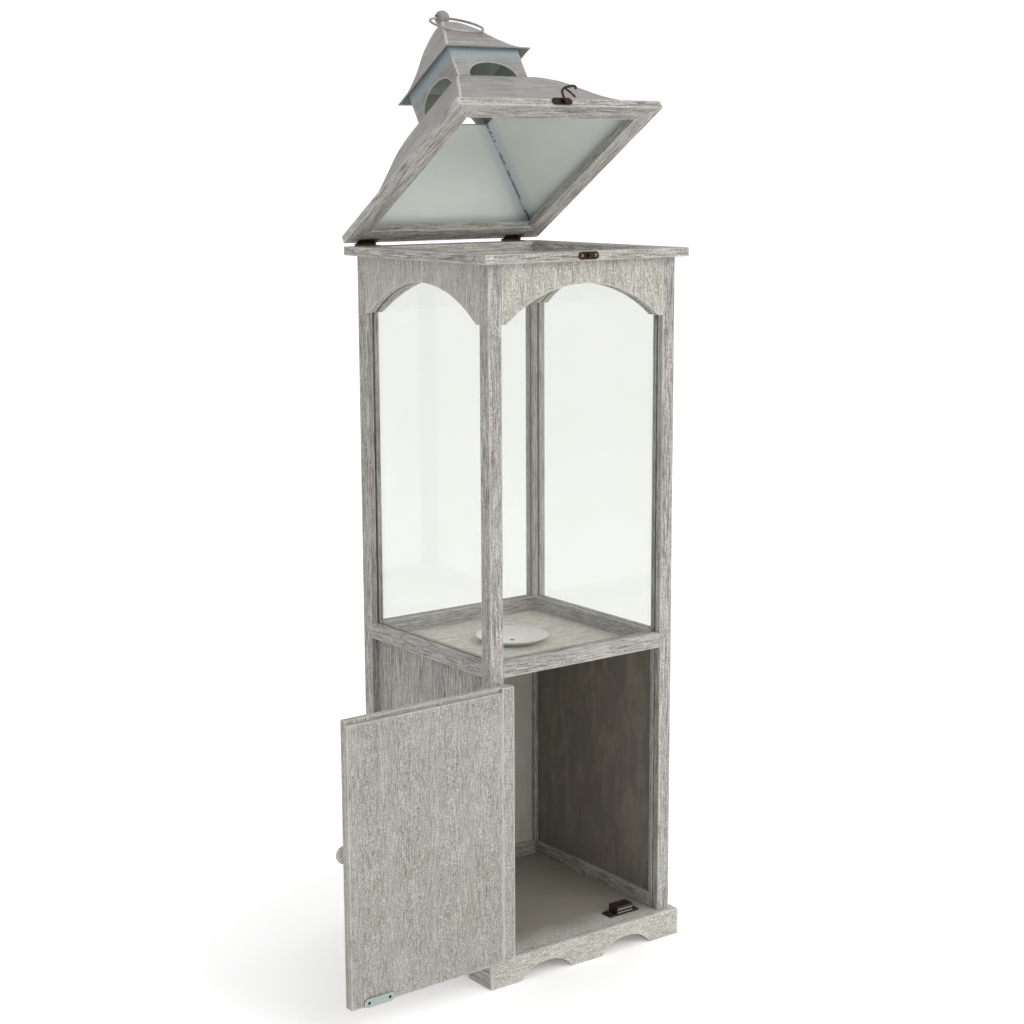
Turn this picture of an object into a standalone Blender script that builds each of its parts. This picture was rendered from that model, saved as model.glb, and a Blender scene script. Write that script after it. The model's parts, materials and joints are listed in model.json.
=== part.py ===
"""Hurricane candle lantern: a tall square wooden lantern on an arched plinth.

Below, a cupboard with a hinged door; above it a glazed candle chamber with four
arched headboards and a rim.  The lid is a mitred frame with a sheet metal ogee
roof, an arched cupola, a small roof, a ball and a ring; it hinges at the back.
Units are metres, +Z up, front to -Y.  The origin is on the ground under the
middle of the front plinth board.
"""
import math

import bmesh
import bpy
from mathutils import Vector

GAP = 0.0003                 # clearance between two pieces that touch

# Plinth
PLINTH_OVERHANG = 0.0085     # plinth face outside the face of the posts
PLINTH_HEIGHT = 0.034
PLINTH_BOARD = 0.018
PLINTH_ROUND = 0.003         # rounded top edge
CENTRE_FOOT = 0.0446         # length of the foot in the middle of a side
FOOT_ARCH = 0.078            # span of each of the two cut-outs of a side
FOOT_ARCH_RISE = 0.0175
FLOOR_THICKNESS = 0.004
FLOOR_SEAT = 0.005           # width of the rebate that carries the floor panel

# Body
BODY_WIDTH = 0.273           # over the posts
POST = 0.018                 # post section, and thickness of the rails between posts
GROOVE_WIDTH = 0.003
GROOVE_DEPTH = 0.004
GROOVE_INSET = 0.009         # outer face to the near side of the groove
BOTTOM_RAIL_HEIGHT = 0.0172
PANEL_THICKNESS = 0.0024
CUPBOARD_HEIGHT = 0.3397     # plinth top to the underside of the middle rails
MIDDLE_RAIL_HEIGHT = 0.018
MIDDLE_RAIL_BEVEL = 0.003
SHELF_THICKNESS = 0.004
SHELF_CLEAR = 0.001          # shelf edge to the panel
CHAMBER_HEIGHT = 0.4564      # middle rail top to the top of the headboards
GLASS_THICKNESS = 0.002
ARCH_END_HEIGHT = 0.0681     # headboard at its ends
ARCH_CROWN_HEIGHT = 0.0261   # headboard over the crown of the arch
ARCH_FLAT = 0.0065           # flat foot of the headboard beside the post
ARCH_STEPS = 24
EDGE = 0.0005                # small worn chamfer on every board

# Rim
RIM_OVERHANG = 0.0117        # rim edge outside the face of the posts
RIM_BOARD = 0.0286
RIM_THICKNESS = 0.0106

# Lid frame and its hinges
LID_INSET = 0.0004           # lid edge inside the rim's edge
LID_RAIL = 0.026
LID_THICKNESS = 0.0096
LID_LEAF = 0.00055
LID_KNUCKLE = 0.0023         # radius
LID_HINGE_LENGTH = 0.0282
LID_HINGE_LEAF_DEPTH = 0.010
LID_HINGE_INSETS = (0.0324, 0.0415)   # lid edge to the middle of the left and right hinge
LID_OPEN = math.radians(32.7)

# Roof, cupola, small roof (half widths and heights above the lid frame's underside)
ROOF_SHEET = 0.0012
ROOF_INSET = 0.0018
ROOF_HEIGHT = 0.0975         # from the frame's top to the throat
CUPOLA_WIDTH = 0.103
THROAT_LEDGE = 0.002         # face of the cupola to the edge of the throat
CUPOLA_HEIGHT = 0.0347       # visible wall, up to the small roof's eave
CUPOLA_WINDOW = 0.0704
CUPOLA_WINDOW_RISE = 0.0205
EAVE_OVERHANG = 0.0115       # of the small roof past the cupola
SMALL_ROOF_HEIGHT = 0.0765
NECK_WIDTH = 0.010
BALL_RADIUS = 0.0093
BALL_HOLE = 0.0034           # radius
RING_RADIUS = 0.033          # to the middle of the wire
RING_WIRE = 0.0016           # radius
RING_DROP = math.radians(50.5)

# Hook latch on the lid, eye plate on the rim
LATCH_LENGTH = 0.029
LATCH_HEIGHT = 0.009
LATCH_THICKNESS = 0.0012
LATCH_X = -0.003
EYE_X = -0.0044
HOOK_X = -0.0005
HOOK_REACH = 0.0125          # height of the hook's pivot over the eye's stud, lid closed
HOOK_THICKNESS = 0.0014
RIVET = 0.0012               # radius
STUD = 0.0015                # radius

# Candle dish
DISH_WIDTH = 0.090
DISH_FOOT = 0.052
DISH_HEIGHT = 0.0083
DISH_SHEET = 0.0013
DISH_X = -0.005
DISH_Y = 0.001

# Door
DOOR_FREE_CLEAR = 0.0048
DOOR_BOTTOM_CLEAR = 0.0018
DOOR_TOP_CLEAR = 0.0017
DOOR_FRAME_THICKNESS = 0.0077
DOOR_STILE = 0.034
DOOR_LINING = 0.0042
LINING_HINGE_INSET = 0.017
LINING_TOP_INSET = 0.005
DOOR_LEAF = 0.0008
DOOR_KNUCKLE = 0.0024        # radius
DOOR_HINGE_LENGTH = 0.038
DOOR_HINGE_INSET = 0.062     # door end to the middle of the hinge
DOOR_AXIS_OFFSET = 0.0021    # post face to the hinge pin, across the opening
DOOR_OPEN = math.radians(178.3)
PIN = 0.0008                 # hinge pin radius
PIN_CLEAR = 0.0003

# Knob, strike plate and magnetic catch
KNOB_RADIUS = 0.0105
KNOB_LENGTH = 0.020
KNOB_EDGE = 0.011            # knob centre to the free edge of the door
KNOB_Z = 0.208
STRIKE_LENGTH = 0.041
STRIKE_HEIGHT = 0.0105
STRIKE_THICKNESS = 0.0015
STRIKE_HOLES = 0.028
STRIKE_HOLE = 0.0019         # radius
STRIKE_EDGE = 0.036          # strike centre to the free edge of the door
STRIKE_DROP = 0.001          # strike plate below the door's lower edge
CATCH_LENGTH = 0.046
CATCH_DEPTH = 0.0175
CATCH_FLANGE = 0.002
CATCH_BODY = 0.025
CATCH_HEIGHT = 0.0115
CATCH_CLEAR = 0.0004

# Derived places.  Distances from the middle of the lantern and heights over the ground.
body_half = BODY_WIDTH / 2
plinth_half = body_half + PLINTH_OVERHANG
rim_half = body_half + RIM_OVERHANG
lid_half = rim_half - LID_INSET
post_inner = body_half - POST
groove_near = body_half - GROOVE_INSET
groove_far = groove_near - GROOVE_WIDTH
groove_middle = groove_near - GROOVE_WIDTH / 2
board_half = post_inner - GAP                  # half length of a board between posts
z_plinth = PLINTH_HEIGHT
z_body = z_plinth + GAP
z_bottom_rail = z_body + BOTTOM_RAIL_HEIGHT
z_middle = z_plinth + CUPBOARD_HEIGHT
z_middle_top = z_middle + MIDDLE_RAIL_HEIGHT
z_shelf = z_middle - GAP - SHELF_THICKNESS
z_head = z_middle_top + CHAMBER_HEIGHT
z_crown = z_head - ARCH_CROWN_HEIGHT
z_spring = z_head - ARCH_END_HEIGHT
z_rim = z_head + GAP
z_rim_top = z_rim + RIM_THICKNESS
z_lid = z_rim_top + 3 * GAP + 2 * LID_LEAF
lid_axis_y = rim_half + GAP + LID_KNUCKLE
lid_axis_z = z_rim_top + 1.5 * GAP + LID_LEAF
mitre_gap = 0.75 * GAP
throat_w = LID_THICKNESS + GAP + ROOF_HEIGHT
eave_w = throat_w + GAP + CUPOLA_HEIGHT
ball_w = eave_w + SMALL_ROOF_HEIGHT + 0.0095
door_axis_x = -post_inner + DOOR_AXIS_OFFSET
door_axis_y = -body_half - GAP - DOOR_KNUCKLE
door_left = -post_inner + 3 * GAP + 2 * DOOR_LEAF
door_right = post_inner - DOOR_FREE_CLEAR
door_bottom = z_plinth + DOOR_BOTTOM_CLEAR
door_top = z_shelf - DOOR_TOP_CLEAR
door_inside = -body_half + DOOR_FRAME_THICKNESS + GAP + DOOR_LINING

for old in list(bpy.data.objects):
    bpy.data.objects.remove(old, do_unlink=True)


def material(name, colour, roughness, metallic=0.0):
    """A Principled material with one colour."""
    made = bpy.data.materials.new(name)
    made.use_nodes = True
    shader = made.node_tree.nodes["Principled BSDF"]
    shader.inputs["Base Color"].default_value = (*colour, 1.0)
    shader.inputs["Roughness"].default_value = roughness
    shader.inputs["Metallic"].default_value = metallic
    made.diffuse_color = (*colour, 1.0)
    return made


def empty(name, place, turn, parent):
    """An empty that carries a group of pieces, standing on a joint's axis."""
    made = bpy.data.objects.new(name, None)
    made.empty_display_size = 0.03
    made.location = place
    made.rotation_euler = turn
    made.parent = parent
    bpy.context.collection.objects.link(made)
    return made


def piece(name, shape, look, parent, smooth=False, chamfer=0.0):
    """Turn a bmesh into a named object, with a worn chamfer where asked."""
    bmesh.ops.recalc_face_normals(shape, faces=shape.faces)
    mesh = bpy.data.meshes.new(name)
    shape.to_mesh(mesh)
    shape.free()
    if smooth:
        mesh.shade_smooth()
        mesh.set_sharp_from_angle(angle=math.radians(35))
    made = bpy.data.objects.new(name, mesh)
    made.parent = parent
    bpy.context.collection.objects.link(made)
    if look:
        mesh.materials.append(look)
    if chamfer:
        bevel = made.modifiers.new("worn_edges", "BEVEL")
        bevel.width = chamfer
        bevel.segments = 1
        bevel.limit_method = "ANGLE"
        bevel.angle_limit = math.radians(50)
    return made


def combine(target, name, shape, operation):
    """Join to, or cut from, a piece with a hidden second shape."""
    tool = piece(name, shape, None, target.parent)
    tool.hide_render = True
    tool.display_type = "WIRE"
    boolean = target.modifiers.new(name, "BOOLEAN")
    boolean.operation = operation
    boolean.solver = "EXACT"
    boolean.object = tool


def box(low, high):
    """A block between two corners."""
    shape = bmesh.new()
    size = [high[i] - low[i] for i in range(3)]
    middle = Vector([(high[i] + low[i]) / 2 for i in range(3)])
    bmesh.ops.create_cube(shape, size=1.0)
    for corner in shape.verts:
        corner.co = middle + Vector([corner.co[i] * size[i] for i in range(3)])
    return shape


def loft(loops, closed_ends=True):
    """Skin a row of point loops of equal length and cap the first and the last."""
    shape = bmesh.new()
    rows = [[shape.verts.new(point) for point in loop] for loop in loops]
    count = len(rows[0])
    for lower, upper in zip(rows, rows[1:]):
        for i in range(count):
            j = (i + 1) % count
            shape.faces.new((lower[i], lower[j], upper[j], upper[i]))
    if closed_ends:
        shape.faces.new(rows[0])
        shape.faces.new(rows[-1])
    return shape


def slab(outline, axis, low, high):
    """Extrude a flat outline along X, Y or Z; its points are in the other two axes."""
    def place(point, level):
        values = list(point)
        values.insert("XYZ".index(axis), level)
        return values
    return loft([[place(p, low) for p in outline], [place(p, high) for p in outline]])


def turned(profile, steps, middle, axis="Z"):
    """Revolve (radius, height) points; both ends of the profile lie on the axis."""
    shape = bmesh.new()
    order = {"X": (2, 0, 1), "Y": (1, 2, 0), "Z": (0, 1, 2)}[axis]

    def vertex(radius, height, angle):
        local = (radius * math.cos(angle), radius * math.sin(angle), height)
        return shape.verts.new([middle[i] + local[order[i]] for i in range(3)])

    first = vertex(0.0, profile[0][1], 0.0)
    last = vertex(0.0, profile[-1][1], 0.0)
    angles = [2 * math.pi * k / steps for k in range(steps)]
    rings = [[vertex(r, h, a) for a in angles] for r, h in profile[1:-1]]
    for k in range(steps):
        n = (k + 1) % steps
        shape.faces.new((first, rings[0][n], rings[0][k]))
        shape.faces.new((last, rings[-1][k], rings[-1][n]))
        for a, b in zip(rings, rings[1:]):
            shape.faces.new((a[k], a[n], b[n], b[k]))
    return shape


def rod(radius, low, high, middle, axis, steps=16):
    """A plain cylinder along an axis, from low to high."""
    return turned([(0, low), (radius, low), (radius, high), (0, high)], steps, middle, axis)


def around(x, y, quarter):
    """Turn a plan point about the lantern's middle by quarter turns; 0 is the front."""
    for _ in range(quarter):
        x, y = -y, x
    return x, y


def side_box(along_low, along_high, out_low, out_high, z_low, z_high, quarter):
    """A block given by its place along a side and its distance from the middle."""
    x0, y0 = around(along_low, -out_high, quarter)
    x1, y1 = around(along_high, -out_low, quarter)
    low = (min(x0, x1), min(y0, y1), z_low)
    high = (max(x0, x1), max(y0, y1), z_high)
    return box(low, high)


SIDES = ("front", "right", "back", "left")       # quarter turns 0 to 3

pickled = material("whitewashed_board", (0.44, 0.42, 0.39), 0.75)
pickled_dark = material("whitewashed_side", (0.36, 0.34, 0.34), 0.75)
ply = material("stained_plywood", (0.20, 0.16, 0.13), 0.7)
clear = material("clear_glass", (0.85, 0.90, 0.90), 0.05)
sheet = material("painted_sheet", (0.42, 0.41, 0.39), 0.55, 0.3)
bronze = material("dark_bronze", (0.10, 0.07, 0.04), 0.4, 0.9)
zinc = material("zinc_plate", (0.60, 0.60, 0.62), 0.35, 1.0)
brown = material("brown_plastic", (0.06, 0.04, 0.03), 0.45)
enamel = material("white_enamel", (0.80, 0.79, 0.76), 0.35)

# The origin is under the front board, so everything else hangs from this empty.
middle = empty("lantern_middle", (0, plinth_half - PLINTH_BOARD / 2, 0), (0, 0, 0), None)


def plinth():
    """Four mitred boards, each with two low arches cut from its foot."""
    arch = []
    for k in range(17):
        share = -1 + 2 * k / 16
        height = FOOT_ARCH_RISE * (1 - abs(share) ** 2.6)
        arch.append((share * FOOT_ARCH / 2, height))
    centre = (CENTRE_FOOT + FOOT_ARCH) / 2
    lower = [(-centre + x, z) for x, z in arch] + [(centre + x, z) for x, z in arch]
    for quarter, side in enumerate(SIDES):
        loops = []
        for out in (plinth_half, plinth_half - PLINTH_BOARD):
            end = out - mitre_gap
            outline = [(-end, 0)] + lower + [(end, 0), (end, z_plinth), (-end, z_plinth)]
            loops.append([(*around(x, -out, quarter), z) for x, z in outline])
        shape = loft(loops)
        edge = [e for e in shape.edges
                if all(abs(v.co.z - z_plinth) < 1e-6 and
                       abs(max(abs(v.co.x), abs(v.co.y)) - plinth_half) < 1e-6
                       for v in e.verts)
                and e.calc_length() > plinth_half]
        bmesh.ops.bevel(shape, geom=edge, offset=PLINTH_ROUND, segments=3,
                        profile=0.5, affect="EDGES")
        board = piece("plinth_" + side, shape, pickled if quarter in (0, 2) else pickled_dark,
                      middle)
        seat = plinth_half - PLINTH_BOARD + FLOOR_SEAT
        cutter = box((-seat, -seat, z_plinth - FLOOR_THICKNESS - GAP),
                     (seat, seat, z_plinth + 0.01))
        combine(board, "floor_seat_" + side, cutter, "DIFFERENCE")
    span = seat - GAP
    piece("floor_panel", box((-span, -span, z_plinth - FLOOR_THICKNESS), (span, span, z_plinth)),
          ply, middle)


def posts():
    """Corner posts with a glass and panel groove in both inner faces."""
    outline = [(body_half, body_half), (post_inner, body_half),
               (post_inner, groove_near), (post_inner + GROOVE_DEPTH, groove_near),
               (post_inner + GROOVE_DEPTH, groove_far), (post_inner, groove_far),
               (post_inner, post_inner), (groove_far, post_inner),
               (groove_far, post_inner + GROOVE_DEPTH),
               (groove_near, post_inner + GROOVE_DEPTH),
               (groove_near, post_inner), (body_half, post_inner)]
    corners = ("front_right", "back_right", "back_left", "front_left")
    for quarter, corner in enumerate(corners):
        plan = [around(x, -y, quarter) for x, y in outline]
        piece("post_" + corner, slab(plan, "Z", z_body, z_head), pickled, middle, chamfer=EDGE)


def rails_and_panels():
    """Bottom rails, thin side and back panels, middle rails and the shelf."""
    cut = GROOVE_WIDTH / 2 + GAP / 2
    tongue = GROOVE_DEPTH - GAP
    for quarter, side in enumerate(SIDES):
        rail = piece("middle_rail_" + side,
                     side_box(-board_half, board_half, post_inner, body_half, z_middle,
                              z_middle_top, quarter), pickled, middle, chamfer=EDGE)
        reach = body_half + MIDDLE_RAIL_BEVEL
        drop = MIDDLE_RAIL_BEVEL
        wedge = [(-body_half + drop, z_middle_top), (-reach, z_middle_top - 2 * drop),
                 (-reach, z_middle_top + drop), (-body_half + drop, z_middle_top + drop)]
        ends = []
        for along in (-body_half, body_half):
            ends.append([(*around(along, y, quarter), z) for y, z in wedge])
        combine(rail, "middle_bevel_" + side, loft(ends), "DIFFERENCE")
        combine(rail, "glass_groove_" + side,
                side_box(-body_half, body_half, groove_middle - cut, groove_middle + cut,
                         z_middle_top - GROOVE_DEPTH - GAP, z_middle_top + 0.01, quarter),
                "DIFFERENCE")
        if side == "front":
            continue
        combine(rail, "panel_groove_upper_" + side,
                side_box(-body_half, body_half, groove_middle - cut, groove_middle + cut,
                         z_middle - 0.01, z_middle + GROOVE_DEPTH, quarter), "DIFFERENCE")
        low = piece("bottom_rail_" + side,
                    side_box(-board_half, board_half, post_inner, body_half, z_body,
                             z_bottom_rail, quarter), pickled, middle, chamfer=EDGE)
        combine(low, "panel_groove_lower_" + side,
                side_box(-body_half, body_half, groove_middle - cut, groove_middle + cut,
                         z_bottom_rail - GROOVE_DEPTH, z_bottom_rail + 0.01, quarter),
                "DIFFERENCE")
        half = PANEL_THICKNESS / 2
        reach = post_inner + tongue
        piece("lower_panel_" + side,
              side_box(-reach, reach, groove_middle - half, groove_middle + half,
                       z_bottom_rail - tongue, z_middle + tongue, quarter), ply, middle)
    wide = groove_far - SHELF_CLEAR
    notch = post_inner - GAP
    plan = [(wide, -notch), (wide, notch), (notch, notch), (notch, wide), (-notch, wide),
            (-notch, notch), (-wide, notch), (-wide, -notch), (-notch, -notch),
            (-notch, -wide), (notch, -wide), (notch, -notch)]
    piece("shelf", slab(plan, "Z", z_shelf, z_shelf + SHELF_THICKNESS), pickled, middle)


def chamber():
    """Glass panes and the arched headboards that hold their tops in a slot."""
    cut = GROOVE_WIDTH / 2 + GAP / 2
    half = GLASS_THICKNESS / 2
    wide = post_inner + GROOVE_DEPTH - GAP
    z_slot = z_crown + (z_head - z_crown) * 0.35
    span = board_half - ARCH_FLAT
    rise = z_crown - z_spring
    radius = (span * span + rise * rise) / (2 * rise)
    sweep = math.asin(span / radius)
    arch = []
    for k in range(ARCH_STEPS + 1):
        angle = -sweep + 2 * sweep * k / ARCH_STEPS
        arch.append((radius * math.sin(angle), z_crown - radius * (1 - math.cos(angle))))
    outline = [(-board_half, z_head), (-board_half, z_spring)] + arch
    outline += [(board_half, z_spring), (board_half, z_head)]
    for quarter, side in enumerate(SIDES):
        loops = []
        for out in (body_half, post_inner):
            loops.append([(*around(x, -out, quarter), z) for x, z in outline])
        board = piece("headboard_" + side, loft(loops), pickled, middle)
        combine(board, "glass_slot_" + side,
                side_box(-body_half, body_half, groove_middle - cut, groove_middle + cut,
                         z_spring - 0.01, z_slot, quarter), "DIFFERENCE")
        piece("glass_" + side,
              side_box(-wide, wide, groove_middle - half, groove_middle + half,
                       z_middle_top - GROOVE_DEPTH, z_slot - 2 * GAP, quarter), clear, middle)


def rim():
    """Flat rim boards: front and back run through, the sides butt between them."""
    inner = rim_half - RIM_BOARD
    for quarter, side in enumerate(SIDES):
        end = rim_half if quarter in (0, 2) else inner - GAP
        piece("rim_" + side, side_box(-end, end, inner, rim_half, z_rim, z_rim_top, quarter),
              pickled, middle, chamfer=EDGE)


def hinge(name, centres, along, flap, face, knuckle, length, leaf, depth, inset, parents):
    """Butt hinge: a fixed leaf with two end knuckles and the pin, and a moving leaf.

    centres holds the middle of the pin for the fixed and for the moving side, flap the
    unit vector from the pin across the leaves, face the one from the fixed leaf to the
    moving leaf, and inset the distance from the fixed leaf's outer face to the pin.
    """
    half = length / 2
    end = half * 0.64
    mid = half - end - GAP
    axis = Vector([1.0 if along == letter else 0.0 for letter in "XYZ"])
    start = knuckle + GAP

    def block(centre, along_span, flap_span, face_span):
        corners = [centre + axis * along_span[i] + flap * flap_span[i] + face * face_span[i]
                   for i in (0, 1)]
        low = [min(corners[0][i], corners[1][i]) for i in range(3)]
        high = [max(corners[0][i], corners[1][i]) for i in range(3)]
        return box(low, high)

    level = (-inset, leaf - inset)
    tab_level = (-inset, leaf * 0.98 - inset)
    fixed = piece(name + "_fixed_leaf",
                  block(centres[0], (-half, half), (start, start + depth), level),
                  bronze, parents[0])
    for tag, span in (("low", (-half, end - half)), ("high", (half - end, half))):
        combine(fixed, f"{name}_tab_{tag}",
                block(centres[0], span, (0.0, start + leaf), tab_level), "UNION")
        combine(fixed, f"{name}_knuckle_{tag}",
                rod(knuckle, span[0], span[1], centres[0], along), "UNION")
    combine(fixed, name + "_pin",
            rod(PIN, -half + end / 2, half - end / 2, centres[0], along, 12), "UNION")
    level = (leaf + GAP - inset, 2 * leaf + GAP - inset)
    tab_level = (level[0], level[0] + leaf * 0.98)
    moving = piece(name + "_moving_leaf",
                   block(centres[1], (-half, half), (start, start + depth), level),
                   bronze, parents[1])
    combine(moving, name + "_tab_middle",
            block(centres[1], (-mid, mid), (0.0, start + leaf), tab_level), "UNION")
    combine(moving, name + "_knuckle_middle",
            rod(knuckle, -mid, mid, centres[1], along), "UNION")
    combine(moving, name + "_bore",
            rod(PIN + PIN_CLEAR, -half, half, centres[1], along, 12), "DIFFERENCE")


def hinges():
    """Two hinges behind the lid and two beside the door."""
    ahead = Vector((0, -1, 0))
    left, right = LID_HINGE_INSETS
    for tag, x in (("left", left - lid_half), ("right", lid_half - right)):
        hinge("lid_hinge_" + tag,
              (Vector((x, lid_axis_y, lid_axis_z)), Vector((x, 0, 0))), "X", ahead,
              Vector((0, 0, 1)), LID_KNUCKLE, LID_HINGE_LENGTH, LID_LEAF,
              LID_HINGE_LEAF_DEPTH, lid_axis_z - z_rim_top - GAP, (middle, lid_axis))
    depth = DOOR_FRAME_THICKNESS - GAP
    for tag, z in (("lower", door_bottom + DOOR_HINGE_INSET),
                   ("upper", door_top - DOOR_HINGE_INSET)):
        hinge("door_hinge_" + tag,
              (Vector((door_axis_x, door_axis_y, z)), Vector((0, 0, z))), "Z", -ahead,
              Vector((1, 0, 0)), DOOR_KNUCKLE, DOOR_HINGE_LENGTH, DOOR_LEAF, depth,
              DOOR_AXIS_OFFSET - GAP, (middle, door_axis))


def square(half, level):
    """Corners of a square ring of the lid, in lid coordinates."""
    return [lid(-half, -half, level), lid(half, -half, level),
            lid(half, half, level), lid(-half, half, level)]


def lid(x, y, w):
    """Lid coordinates: plan as with the lid closed, w over the frame's underside."""
    return Vector((x, y - lid_axis_y, w + z_lid - lid_axis_z))


def skin(profile, foot):
    """Inner line of a sheet roof under its (half width, height) outer line."""
    inner = []
    for k, (a, w) in enumerate(profile):
        before = profile[max(k - 1, 0)]
        after = profile[min(k + 1, len(profile) - 1)]
        run = Vector((after[0] - before[0], after[1] - before[1])).normalized()
        inner.append((a - ROOF_SHEET * abs(run.y), w + ROOF_SHEET * run.x))
    slope = (inner[1][1] - inner[0][1]) / (inner[1][0] - inner[0][0])
    inner[0] = (inner[0][0] + (foot - inner[0][1]) / slope, foot)
    return inner


def ogee(foot, head, rise, start, points):
    """Roof curve: nearly flat at the eave, then steep, then easing to the top."""
    out = []
    for share_in, share_up in points:
        out.append((foot + (head - foot) * share_in, start + rise * share_up))
    return out


def skirt(shape, rings):
    """Faces between a row of square rings; gives back the vertices of every ring."""
    rows = [[shape.verts.new(p) for p in ring] for ring in rings]
    for lower, upper in zip(rows, rows[1:]):
        for i in range(4):
            j = (i + 1) % 4
            shape.faces.new((lower[i], lower[j], upper[j], upper[i]))
    return rows


def shell(rings):
    """Close a row of square rings into one skin whose two ends meet."""
    shape = bmesh.new()
    rows = skirt(shape, rings)
    for i in range(4):
        j = (i + 1) % 4
        shape.faces.new((rows[-1][i], rows[-1][j], rows[0][j], rows[0][i]))
    return shape


ROOF_CURVE = ((0.0, 0.0), (0.075, 0.036), (0.15, 0.082), (0.222, 0.142), (0.29, 0.204),
              (0.365, 0.28), (0.437, 0.362), (0.508, 0.455), (0.575, 0.55), (0.645, 0.65),
              (0.72, 0.75), (0.80, 0.84), (0.89, 0.922), (1.0, 1.0))
SMALL_CURVE = ((0.0, 0.0), (0.10, 0.055), (0.20, 0.135), (0.31, 0.245), (0.42, 0.385),
               (0.54, 0.545), (0.66, 0.71), (0.77, 0.84), (0.88, 0.935), (1.0, 1.0))


def roofs():
    """Sheet metal: ogee main roof, arched cupola, small roof with its ball."""
    foot = lid_half - ROOF_INSET
    collar = CUPOLA_WIDTH / 2
    start = LID_THICKNESS + GAP
    curve = ogee(foot, collar, ROOF_HEIGHT, start, ROOF_CURVE)
    throat = collar - THROAT_LEDGE
    inner = [p for p in skin(curve, start) if p[0] > throat + ROOF_SHEET / 5]
    rings = [square(a, w) for a, w in curve]
    rings += [square(throat, throat_w), square(throat, throat_w - ROOF_SHEET)]
    rings += [square(a, w) for a, w in reversed(inner)]
    piece("main_roof", shell(rings), sheet, lid_axis)

    outer = ogee(CUPOLA_WIDTH / 2 + EAVE_OVERHANG, NECK_WIDTH / 2, SMALL_ROOF_HEIGHT, eave_w, SMALL_CURVE)
    inner = [p for p in skin(outer, eave_w) if p[0] > 0.4 * NECK_WIDTH / 2]
    shape = bmesh.new()
    outer_rows = skirt(shape, [square(a, w) for a, w in outer])
    inner_rows = skirt(shape, [square(a, w) for a, w in inner])
    neck_w = eave_w + SMALL_ROOF_HEIGHT
    tip = shape.verts.new(lid(0, 0, neck_w))
    under = shape.verts.new(lid(0, 0, neck_w - ROOF_SHEET))
    for i in range(4):
        j = (i + 1) % 4
        shape.faces.new((outer_rows[-1][i], outer_rows[-1][j], tip))
        shape.faces.new((inner_rows[-1][i], inner_rows[-1][j], under))
        shape.faces.new((outer_rows[0][i], outer_rows[0][j], inner_rows[0][j],
                         inner_rows[0][i]))
    small = piece("small_roof", shape, sheet, lid_axis)
    centre = lid(0, 0, ball_w)
    profile = [(0, neck_w - 0.0006 - ball_w)]
    profile += [(0.0052, neck_w - 0.0006 - ball_w), (0.0056, neck_w + 0.0003 - ball_w),
                (0.0046, neck_w + 0.0007 - ball_w)]
    low = -math.acos(0.0040 / BALL_RADIUS)
    for k in range(12):
        angle = low + (math.pi / 2 - low) * k / 12
        profile.append((BALL_RADIUS * math.cos(angle), BALL_RADIUS * math.sin(angle)))
    profile.append((0, BALL_RADIUS))
    combine(small, "finial_ball", turned(profile, 24, centre), "UNION")
    combine(small, "ring_hole",
            rod(BALL_HOLE, -2 * BALL_RADIUS, 2 * BALL_RADIUS, centre, "X"), "DIFFERENCE")

    wall = CUPOLA_WIDTH / 2
    thin = wall - ROOF_SHEET
    for (a0, w0), (a1, w1) in zip(inner, inner[1:]):
        if a1 <= wall <= a0:
            top = w0 + (w1 - w0) * (a0 - wall) / (a0 - a1) - GAP
    bottom = throat_w + GAP
    walls = shell([square(wall, bottom), square(wall, top), square(thin, top),
                   square(thin, bottom)])
    cupola = piece("cupola", walls, sheet, lid_axis)
    window = [(-CUPOLA_WINDOW / 2, -0.004)]
    for k in range(21):
        angle = math.pi - math.pi * k / 20
        window.append((CUPOLA_WINDOW / 2 * math.cos(angle),
                       CUPOLA_WINDOW_RISE * math.sin(angle)))
    window.append((CUPOLA_WINDOW / 2, -0.004))
    for axis in (0, 1):
        ends = []
        for level in (-1, 1):
            reach = level * CUPOLA_WIDTH
            ring = []
            for s, h in window:
                plan = (s, reach) if axis == 0 else (reach, s)
                ring.append(lid(plan[0], plan[1], bottom + h))
            ends.append(ring)
        combine(cupola, ("window_front_back", "window_left_right")[axis], loft(ends),
                "DIFFERENCE")


def lid_frame():
    """Four mitred rails."""
    for quarter, side in enumerate(SIDES):
        inner = lid_half - LID_RAIL
        plan = [(-lid_half + mitre_gap, -lid_half), (lid_half - mitre_gap, -lid_half),
                (inner - mitre_gap, -inner), (-inner + mitre_gap, -inner)]
        loops = []
        for level in (0.0, LID_THICKNESS):
            loops.append([lid(*around(x, y, quarter), level) for x, y in plan])
        piece("lid_rail_" + side, loft(loops), pickled, lid_axis, chamfer=EDGE)


def obround(length, height, steps=10):
    """Outline of a plate with round ends, about its middle."""
    radius = height / 2
    reach = length / 2 - radius
    out = []
    for sign in (1, -1):
        for k in range(steps + 1):
            angle = sign * math.pi / 2 * (1 - 2 * k / steps)
            across = radius * math.cos(angle)
            out.append((sign * (reach + across), radius * math.sin(angle)))
    return out


def ribbon(path, width, y_low, y_high):
    """A flat bar of constant width that follows a path of (x, z) points."""
    left, right = [], []
    for k, point in enumerate(path):
        before = Vector(path[max(k - 1, 0)])
        after = Vector(path[min(k + 1, len(path) - 1)])
        run = (after - before).normalized()
        side = Vector((-run.y, run.x)) * width / 2
        left.append(Vector(point) + side)
        right.append(Vector(point) - side)
    outline = [tuple(p) for p in left + right[::-1]]
    return slab(outline, "Y", y_low, y_high)


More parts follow.
